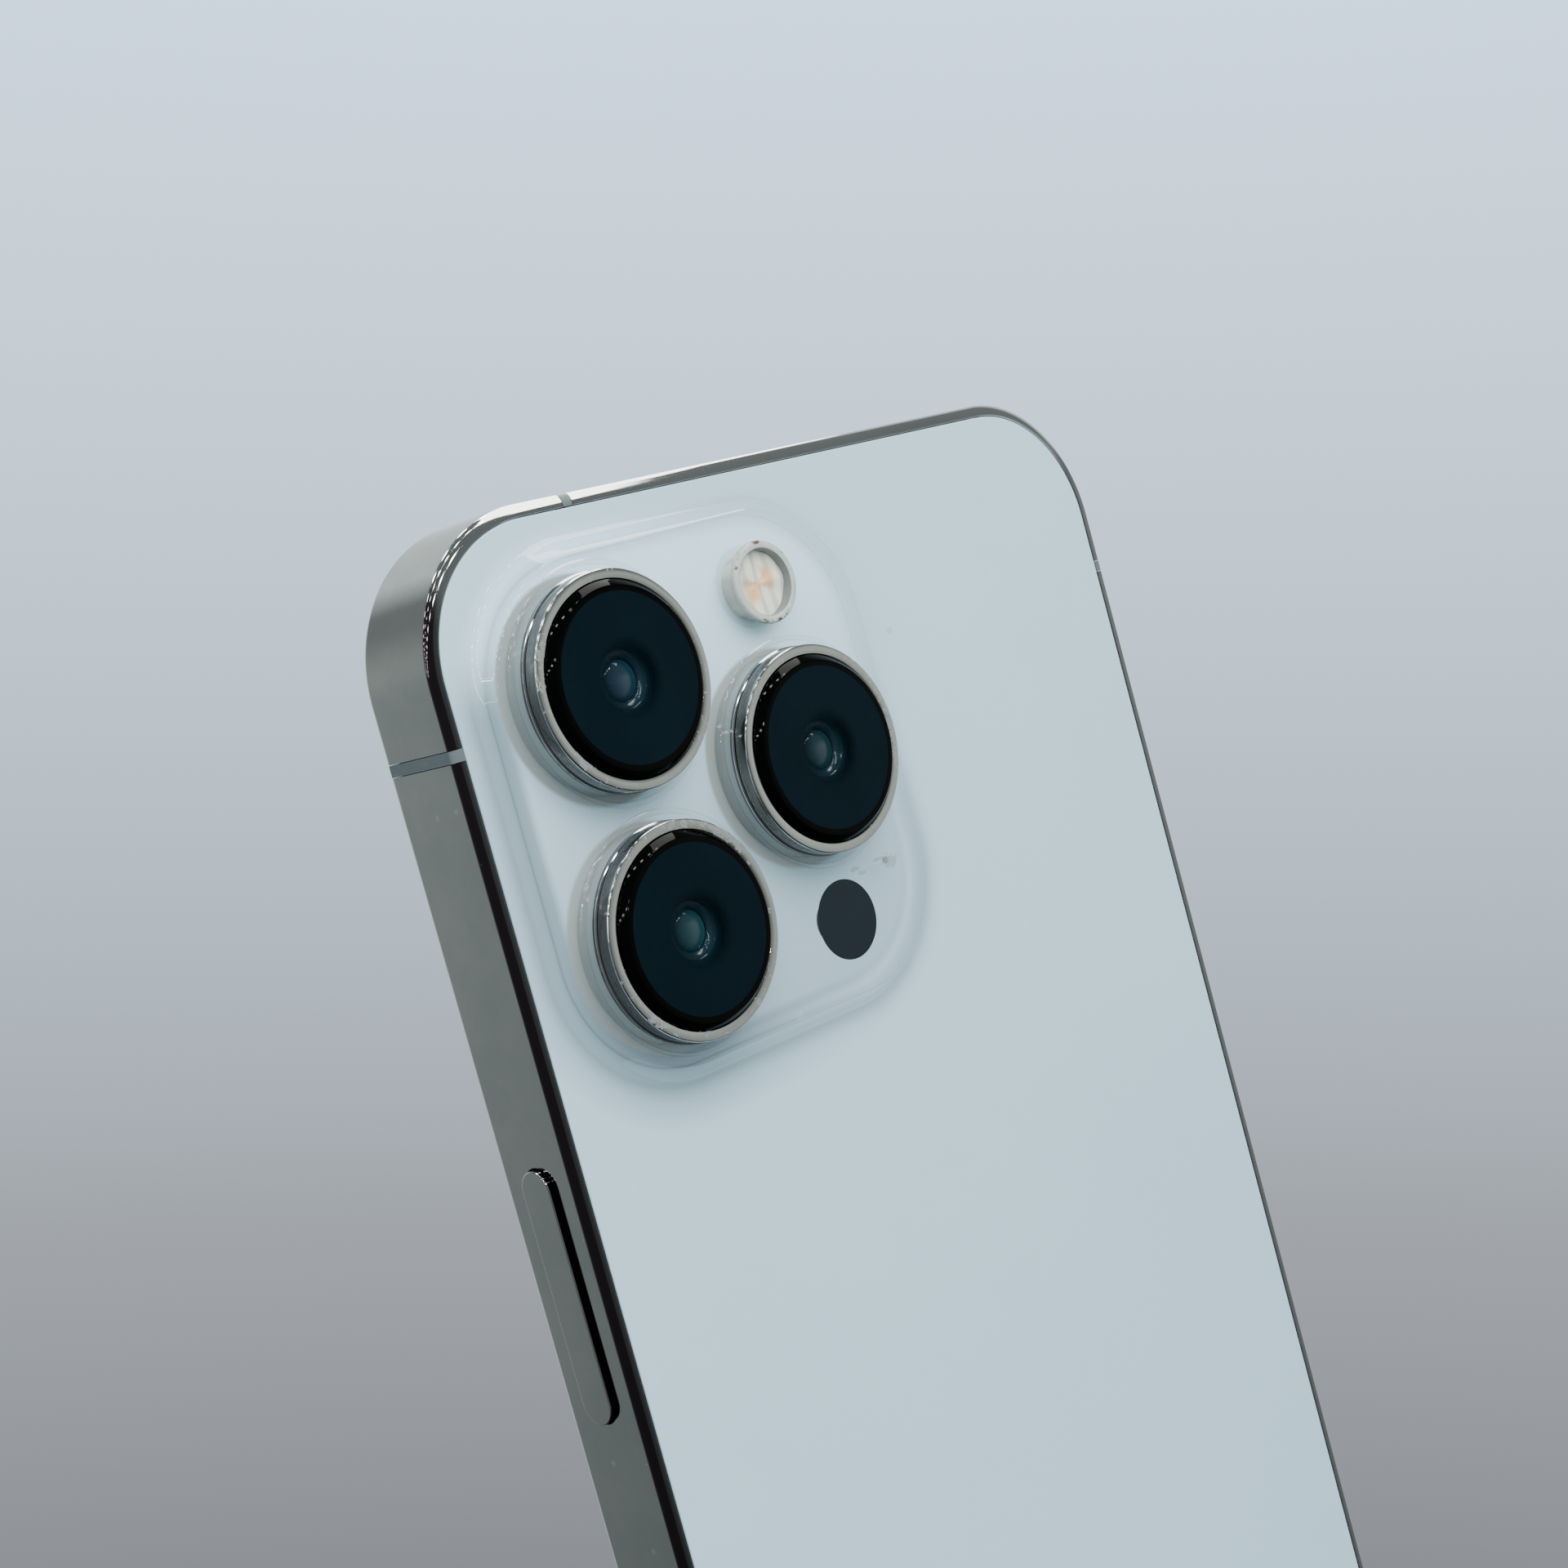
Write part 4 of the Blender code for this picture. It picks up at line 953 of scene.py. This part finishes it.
def make_flash():
    """The flash: a milky rim round a recessed disc of clear ribs over warm emitters."""
    rim_look, t, shader = material("milky_rim", Roughness=0.22, Specular_IOR_Level=0.4)
    where = t.place()
    flecks = t.mask(GRIME, where, Height=(BACK_Y + 2.1) * MM, Spread=0.26 * MM, Scale=1700.0, Least=0.585)
    haze = t.mask(SMUDGES, where, Scale=700.0)
    far = t.radius(where, FLASH)
    inner = t.math("LESS_THAN", far, 2.56)
    colour = t.mix(haze, (0.36, 0.375, 0.32), (0.42, 0.43, 0.38))
    # Painted shade on the rim's inner wall
    colour = t.mix(inner, colour, (0.17, 0.185, 0.18))
    edge = t.math("MULTIPLY", flecks, t.remap(far, 2.75, 2.9))
    t.set(shader.inputs["Base Color"], t.mix(edge, colour, (0.07, 0.04, 0.02)))
    high = t.height(where)
    lining = t.math("MULTIPLY", t.math("MULTIPLY", inner, t.front()), t.math("GREATER_THAN", high, 1.12))
    t.set(shader.inputs["Alpha"], t.math("MAXIMUM", lining, t.remap(high, 1.6, 1.95, 0.06, 1.0)))
    profile = [(2.5, 0.1), (2.5, 1.98), (2.53, 2.10), (2.62, 2.16), (2.9, 2.16), (3.02, 2.12), (3.09, 2.02),
               (3.12, 1.9), (3.12, 0.0), (2.5, 0.0), (2.5, 0.1)]
    turned("flash_rim", FLASH, profile, rim_look, stands_for="flash_lens", slot="clear_glass", steps=96, sharp=40)
    profile = [(0.0, 1.5), (2.48, 1.5), (2.48, 1.62), (1.6, 1.70), (0.8, 1.73), (0.0, 1.74)]
    turned("flash_window", FLASH, profile, CLEAR, slot="clear_glass", steps=72, sharp=40)
    glow, t, shader = material("flash_reflector", Roughness=0.3, Specular_IOR_Level=0.4)
    where = t.vector("DIVIDE", t.vector("SUBTRACT", t.place(), tuple(point(*FLASH, 0.0))), (MM, MM, MM))
    wave = t.noise(where, 1.6, 3.0)
    warm = None
    for cx, cz, wide, tall in ((0.75, -0.55, 0.85, 1.25), (-0.95, 0.35, 0.8, 1.25), (0.1, -0.2, 0.6, 0.6)):
        shifted = t.vector("SUBTRACT", where, (cx, 0.0, cz))
        far = t.math("ADD", t.vector("LENGTH", t.vector("DIVIDE", shifted, (wide, 50.0, tall))),
                     t.math("SUBTRACT", wave, 0.5))
        one = t.flip(t.remap(far, 0.1, 1.25))
        warm = one if warm is None else t.math("MAXIMUM", warm, one)
    folds = t.add("ShaderNodeTexWave", {"wave_type": "BANDS", "bands_direction": "X"},
                  Vector=t.vector("MULTIPLY", where, (1.0, 0.0, 0.25)), Scale=0.26, Distortion=2.4, Detail=1.0,
                  Detail_Scale=0.6).outputs[1]
    cream = t.mix(t.remap(folds, 0.1, 0.7), (0.50, 0.495, 0.43), (0.70, 0.68, 0.53))
    t.set(shader.inputs["Base Color"], t.mix(warm, cream, (0.66, 0.37, 0.17)))
    steps, rings, brim = 96, 14, 2.49

    def around(radius, high):
        return [build.verts.new(point(*place, high(math.tau * i / steps)))
                for i, place in enumerate(circle(FLASH, radius, steps))]

    build = bmesh.new()
    middle = build.verts.new(point(*FLASH, 1.22))
    rows = []
    for k in range(1, rings + 1):
        radius = brim * k / rings
        rows.append(around(radius, lambda a: 1.22 + 0.10 * (radius / brim) ** 2 + min(1.0, radius / 1.2)
                           * (0.10 * math.cos(3 * a + 0.6) + 0.05 * math.cos(7 * a))))
    rows.append(around(brim, lambda a: -0.01))  # a skirt down to the back closes the disc
    for i in range(steps):
        j = (i + 1) % steps
        build.faces.new((middle, rows[0][i], rows[0][j]))
        for first, second in zip(rows, rows[1:]):
            build.faces.new((first[i], first[j], second[j], second[i]))
    build.faces.new(rows[-1])
    finish_piece("flash_emitters", build, glow, stands_for="flash_module", slot="flash_emitter", sharp=50)


def make_sensors():
    """The depth sensor's dark disc under the clear rise, its body, and the rear microphone's mesh."""
    slate, t, shader = material("sensor_slate", Roughness=0.12, Specular_IOR_Level=0.0)
    haze = t.mask(SMUDGES, t.place(), Scale=500.0)
    t.set(shader.inputs["Base Color"], t.mix(haze, (0.0004, 0.0042, 0.0078), (0.0006, 0.0050, 0.0090)))
    top = [(0.0, 1.52), (3.0, 1.52), (3.0, 1.56), (2.97, 1.6), (0.0, 1.6)]
    window = turned("depth_sensor_window", DEPTH, top, slate, stands_for="depth_window", slot="lens_glass", steps=96)
    body = bmesh.new()
    across, down = DEPTH
    side = rounded(across - 4.0, across + 4.0, down - 4.0, down + 4.0, 0.4, 6)
    skin(body, stack([(side, -5.05), (side, -0.85)]))
    add_turned(body, DEPTH, [(0.0, -0.86), (1.7, -0.86), (1.7, 1.46), (1.6, 1.5), (0.0, 1.5)], 48)
    body = finish_piece("depth_sensor_body", body, BLACK, stands_for="depth_module", slot="black_plastic")
    for piece in (window, body):  # the clear glass round them fills their shadow with light
        piece.visible_shadow = piece.visible_diffuse = False
    low, top = RISE - 0.33, RISE - 0.27
    turned("rear_microphone_mesh", MIC, [(0.0, low), (0.26, low), (0.26, top), (0.0, top)], PALE_MESH, steps=28,
           stands_for="rear_microphone", slot="speaker_mesh")


def make_front():
    """The display: one black glass with rounded edges, the lit area's darker panel, notch, earpiece and camera."""
    glass, t, shader = material("display_cover_glass", Roughness=0.03, Specular_IOR_Level=0.32)
    where = t.place()
    scaled = t.vector("DIVIDE", where, (MM, MM, MM))
    split = t.add("ShaderNodeSeparateXYZ", Vector=scaled)
    x, z = split.outputs["X"], split.outputs["Z"]

    def box_distance(centre_z, half_x, half_z, radius):
        qx = t.math("SUBTRACT", t.math("ABSOLUTE", x), half_x - radius)
        qz = t.math("SUBTRACT", t.math("ABSOLUTE", t.math("SUBTRACT", z, centre_z)), half_z - radius)
        px, pz = t.math("MAXIMUM", qx, 0.0), t.math("MAXIMUM", qz, 0.0)
        out = t.math("SQRT", t.math("ADD", t.math("MULTIPLY", px, px), t.math("MULTIPLY", pz, pz)))
        return t.math("SUBTRACT", t.math("ADD", out, t.math("MINIMUM", t.math("MAXIMUM", qx, qz), 0.0)), radius)

    lit = t.math("LESS_THAN", box_distance(HEIGHT / 2, WIDTH / 2 - 3.4, HEIGHT / 2 - 3.4, 7.6), 0.0)
    notch = t.math("LESS_THAN", box_distance(HEIGHT - 3.0, 13.4, 5.7, 3.2), 0.0)
    panel = t.math("MULTIPLY", lit, t.flip(notch))
    smear = t.mask(SMUDGES, where, Scale=38.0)
    t.set(shader.inputs["Base Color"], t.mix(panel, (0.0012, 0.0012, 0.0014), (0.0075, 0.0080, 0.0100)))
    t.set(shader.inputs["Roughness"], t.remap(smear, 0.0, 1.0, 0.02, 0.10))

    def outline(more):
        gap = 1.0 + more
        return rounded(gap, WIDTH - gap, gap, HEIGHT - gap, CORNER - gap, 28)

    face, mid = -THICK, WIDTH / 2
    levels = [(outline(0.0), face + 0.75), (outline(0.0), face + 0.22)]
    for degrees in (18, 36, 54, 72, 90):
        a = math.radians(degrees)
        levels.append((outline(0.24 * (1 - math.cos(a))), face + 0.22 - 0.2 * math.sin(a)))
    piece = slab("display_cover", levels, glass, stands_for="display_glass", slot="display_glass")
    slot = rounded(mid - 5.9, mid + 5.9, 1.08, 1.82, 0.36, 8)
    boolean(piece, [stack([(slot, face - 0.3), (slot, face + 0.3)])])
    grille = rounded(mid - 5.85, mid + 5.85, 1.13, 1.77, 0.3, 8)
    slab("earpiece_grille", [(grille, face + 0.2), (grille, face + 0.10)], MESH, stands_for="earpiece_mesh",
         slot="speaker_mesh")
    turned("front_camera_lens", FRONT_CAMERA,
           [(0.0, face + 0.5), (1.6, face + 0.5), (1.6, face + 0.001), (0.75, face + 0.0005), (0.0, face + 0.0005)],
           FRONT_EYE, steps=48, slot="lens_glass")


def front_eye_material():
    """The front camera seen through the display's glass: a painted blue glint in a dark pupil."""
    made, t, shader = material("front_camera_glass", Roughness=0.03)
    far = t.radius(t.place(), FRONT_CAMERA)
    colour = t.ramp(t.math("DIVIDE", far, 2.0), (0.0, (0.004, 0.006, 0.03)), (0.28, (0.006, 0.008, 0.05)),
                    (0.34, (0.002, 0.002, 0.004)), (0.62, (0.003, 0.003, 0.006)), (0.8, (0.0015, 0.0015, 0.0017)))
    t.set(shader.inputs["Base Color"], colour)
    return made


FRONT_EYE = front_eye_material()


# ---------------------------------------------------------------- build

band = make_band()
make_buttons(band)
make_switch()
make_tray()
make_bottom(band)
make_back()
make_cameras()
make_flash()
make_sensors()
make_front()

CARRIED = (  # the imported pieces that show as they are, by look and slot
    (INNER, "inner_steel", ("chassis_plate", "camera_bracket", "sim_reader", "board_shield", "haptic_case")),
    (BLACK, "black_plastic", ("earpiece_speaker", "face_sensor", "camera_housing_main", "camera_housing_tele",
                              "camera_housing_wide", "loudspeaker")),
    (GASKET, "black_plastic", ("display_gasket",)),
    (WRAP, "display_panel", ("display_panel",)),
    (SATIN_BLACK, "lens_glass", ("front_camera",)),
    (COPPER, "copper", ("volume_flex", "charging_coil")),
    (MESH, "speaker_mesh", ("speaker_mesh", "microphone_mesh")),
    (WRAP, "battery_wrap", ("battery",)),
    (BOARD, "board", ("logic_board",)),
    (MAGNET, "magnet", ("magnet_ring", "haptic_mass")),
)
for look, slot, nodes in CARRIED:
    for node in nodes:
        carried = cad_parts[node]
        for place in carried.material_slots:
            place.material = look

# ---------------------------------------------------------------- studio

camera_centre = Vector((136.8426, BACK_Y + 136.4239, 135.5436)) * MM
camera_right = Vector((-0.68669506, 0.67755975, -0.26336798))
camera_up = Vector((-0.23798124, 0.13279796, 0.96214845))
camera_forward = Vector((-0.68688779, -0.72337922, -0.07005481))
FOCAL = 3118.67


def glow_material(name, strength, colour=(1.0, 1.0, 1.0)):
    made = bpy.data.materials.new(name)
    made.use_nodes = True
    t = Tree(made.node_tree)
    made.node_tree.nodes.clear()
    light = t.add("ShaderNodeEmission", Strength=strength)
    light.inputs["Color"].default_value = rgb(*colour)
    out = t.add("ShaderNodeOutputMaterial")
    t.set(out.inputs["Surface"], light.outputs[0])
    made.cycles.emission_sampling = "NONE"
    return made


def studio_piece(name, polygons, look):
    """Flat glowing shapes that only mirrors see."""
    build = bmesh.new()
    for polygon in polygons:
        build.faces.new([build.verts.new(p) for p in polygon])
    mesh = bpy.data.meshes.new(name)
    build.to_mesh(mesh)
    build.free()
    piece = bpy.data.objects.new(name, mesh)
    mesh.materials.append(look)
    bpy.context.scene.collection.objects.link(piece)
    piece.visible_camera = piece.visible_diffuse = piece.visible_shadow = False
    piece.visible_transmission = piece.visible_volume_scatter = False


def make_floor():
    """A pale floor that fades out at its rim and is not mirrored in the steel."""
    look, t, shader = material("pale_floor", Roughness=0.6, Specular_IOR_Level=0.2)
    where = t.place()
    cloud = t.mask(SMUDGES, where, Scale=14.0)
    t.set(shader.inputs["Base Color"], t.mix(cloud, (0.70, 0.715, 0.73), (0.68, 0.695, 0.71)))
    far = t.vector("LENGTH", t.vector("MULTIPLY", where, (1.0, 1.0, 0.0)))
    t.set(shader.inputs["Alpha"], t.flip(t.remap(far, 0.066, 0.108)))
    build = bmesh.new()
    steps, low = 64, -0.0002
    rows = [[build.verts.new((0, 0, low))] * steps]
    for radius in (0.03, 0.06, 0.085, 0.11):
        rows.append([build.verts.new((u, v, low)) for u, v in circle((0.0, 0.0), radius, steps)])
    for first, second in zip(rows, rows[1:]):
        for i in range(steps):
            j = (i + 1) % steps
            build.faces.new(list(dict.fromkeys((first[i], first[j], second[j], second[i]))))
    mesh = bpy.data.meshes.new("floor")
    build.to_mesh(mesh)
    build.free()
    mesh.materials.append(look)
    floor = bpy.data.objects.new("floor", mesh)
    bpy.context.scene.collection.objects.link(floor)
    floor.visible_glossy = False


def make_world():
    """A pale backdrop for the camera, an even soft light, and for mirrors a room that is dark behind the camera.

    The three are separate on purpose: the room is only what polished surfaces mirror.
    """
    world = bpy.data.worlds.new("studio")
    bpy.context.scene.world = world
    world.use_nodes = True
    nodes = world.node_tree
    nodes.nodes.clear()
    t = Tree(nodes)
    way = t.add("ShaderNodeTexCoord").outputs["Generated"]
    level = t.remap(t.vector("DOT_PRODUCT", way, tuple(camera_up)), -0.33, 0.33, smooth=False)
    backdrop = t.ramp(level, *[(i / 4, colour) for i, colour in enumerate(BACKDROP)])
    facing = Vector((0.687, 0.727, 0.0)).normalized()
    side = Vector((-facing.y, facing.x, 0.0))
    towards = t.vector("DOT_PRODUCT", way, tuple(facing))
    beside = t.vector("DOT_PRODUCT", way, tuple(side))
    height = t.add("ShaderNodeSeparateXYZ", Vector=way).outputs["Z"]
    unit = t.remap(towards, -1.0, 1.0, smooth=False)
    behind, beyond, ceiling = (t.ramp(unit, *[((p + 1) / 2, c) for p, c in stops])
                               for stops in (ROOM_BEHIND, ROOM_BEYOND, CEILING))
    room = t.mix(t.remap(beside, -0.12, 0.12),
                 t.mix(t.remap(height, 0.12, 0.5), behind, ceiling),
                 t.mix(t.remap(height, 0.0, 0.15), beyond, ceiling))
    fall = t.ramp(t.remap(height, -1.0, 0.2, smooth=False),
                  (0.0, 0.03), (0.3, 0.2), (0.5, 0.55), (0.8, 0.9), (1.0, 1.0))
    room = t.vector("MULTIPLY", room, fall)
    path = t.add("ShaderNodeLightPath")
    seen = t.mix(path.outputs["Is Glossy Ray"], AMBIENT, room)
    seen = t.mix(path.outputs["Is Camera Ray"], seen, backdrop)
    light = t.add("ShaderNodeBackground", Color=seen, Strength=1.0)
    out = t.add("ShaderNodeOutputWorld")
    t.set(out.inputs["Surface"], light.outputs[0])


# The backdrop from low to high, then the room's parts from behind the phone (-1) to behind the camera (1)
BACKDROP = ((0.235, 0.245, 0.275), (0.42, 0.455, 0.50), (0.69, 0.87, 1.03), (1.00, 1.30, 1.62), (1.28, 1.72, 2.30))
ROOM_BEHIND = ((-1.0, (1.0, 1.12, 1.16)), (-0.55, (0.74, 0.86, 0.86)), (-0.25, (0.40, 0.45, 0.43)),
               (-0.08, (0.128, 0.158, 0.190)), (0.02, (0.092, 0.114, 0.144)), (0.12, (0.13, 0.14, 0.145)),
               (0.6, (0.20, 0.21, 0.215)), (1.0, (0.16, 0.165, 0.17)))
ROOM_BEYOND = ((-1.0, (0.80, 0.84, 0.82)), (-0.2, (0.72, 0.77, 0.74)), (0.08, (0.62, 0.67, 0.64)),
               (0.22, (0.36, 0.39, 0.38)), (0.42, (0.18, 0.19, 0.19)), (1.0, (0.16, 0.165, 0.17)))
CEILING = ((-1.0, (0.85, 0.90, 0.89)), (-0.6, (0.76, 0.88, 0.88)), (-0.44, (0.22, 0.245, 0.245)),
           (0.5, (0.17, 0.19, 0.19)), (0.85, (0.15, 0.155, 0.16)))
AMBIENT = (0.62, 0.80, 0.93)


def make_lights():
    """Soft key from above, and what the polished parts mirror: one broad panel and three long rows of small lamps."""
    soft = bpy.data.lights.new("soft_key", "AREA")
    soft.shape, soft.size, soft.size_y, soft.energy = "RECTANGLE", 0.4, 0.3, 2.6
    soft.color = (0.95, 0.98, 1.0)
    key = bpy.data.objects.new("soft_key", soft)
    key.location = (0.04, 0.24, 0.30)
    key.rotation_euler = (Vector((0, 0, 0.1)) - key.location).to_track_quat("-Z", "Y").to_euler()
    key.visible_glossy = key.visible_camera = False
    bpy.context.scene.collection.objects.link(key)
    outline = ((-0.14, 0.17), (-0.12, 0.22), (-0.005, 0.313), (0.08, 0.314), (0.15, 0.262), (0.2, 0.24), (0.3, 0.6),
               (-0.215, 0.6), (-0.215, 0.17))
    studio_piece("soft_panel", [[Vector((-0.15, y, z)) for y, z in outline]],
                 glow_material("panel_glow", 7.0, (1.0, 1.0, 0.97)))
    lamps = []
    for y0, spacing, half_x, half_y in ((-0.13, 0.10, 0.018, 0.022), (0.2, 0.065, 0.010, 0.010),
                                        (0.56, 0.13, 0.022, 0.03)):
        x = -0.14
        while x < 2.2:
            lamps.append([Vector((x + dx, y0 + dy, 0.48)) for dx, dy in
                          ((-half_x, -half_y), (half_x, -half_y), (half_x, half_y), (-half_x, half_y))])
            x += spacing
    studio_piece("lamp_rows", lamps, glow_material("lamp_glow", 45.0))


make_floor()
make_world()
make_lights()

view = bpy.data.cameras.new("view")
view.lens, view.sensor_width = FOCAL / 1920 * 36, 36
view.clip_start, view.clip_end = 0.01, 20
camera = bpy.data.objects.new("view", view)
bpy.context.scene.collection.objects.link(camera)
turn = Matrix((camera_right, camera_up, -camera_forward)).transposed().to_4x4()
camera.matrix_world = Matrix.Translation(camera_centre) @ turn
bpy.context.scene.camera = camera

bpy.context.view_layer.update()
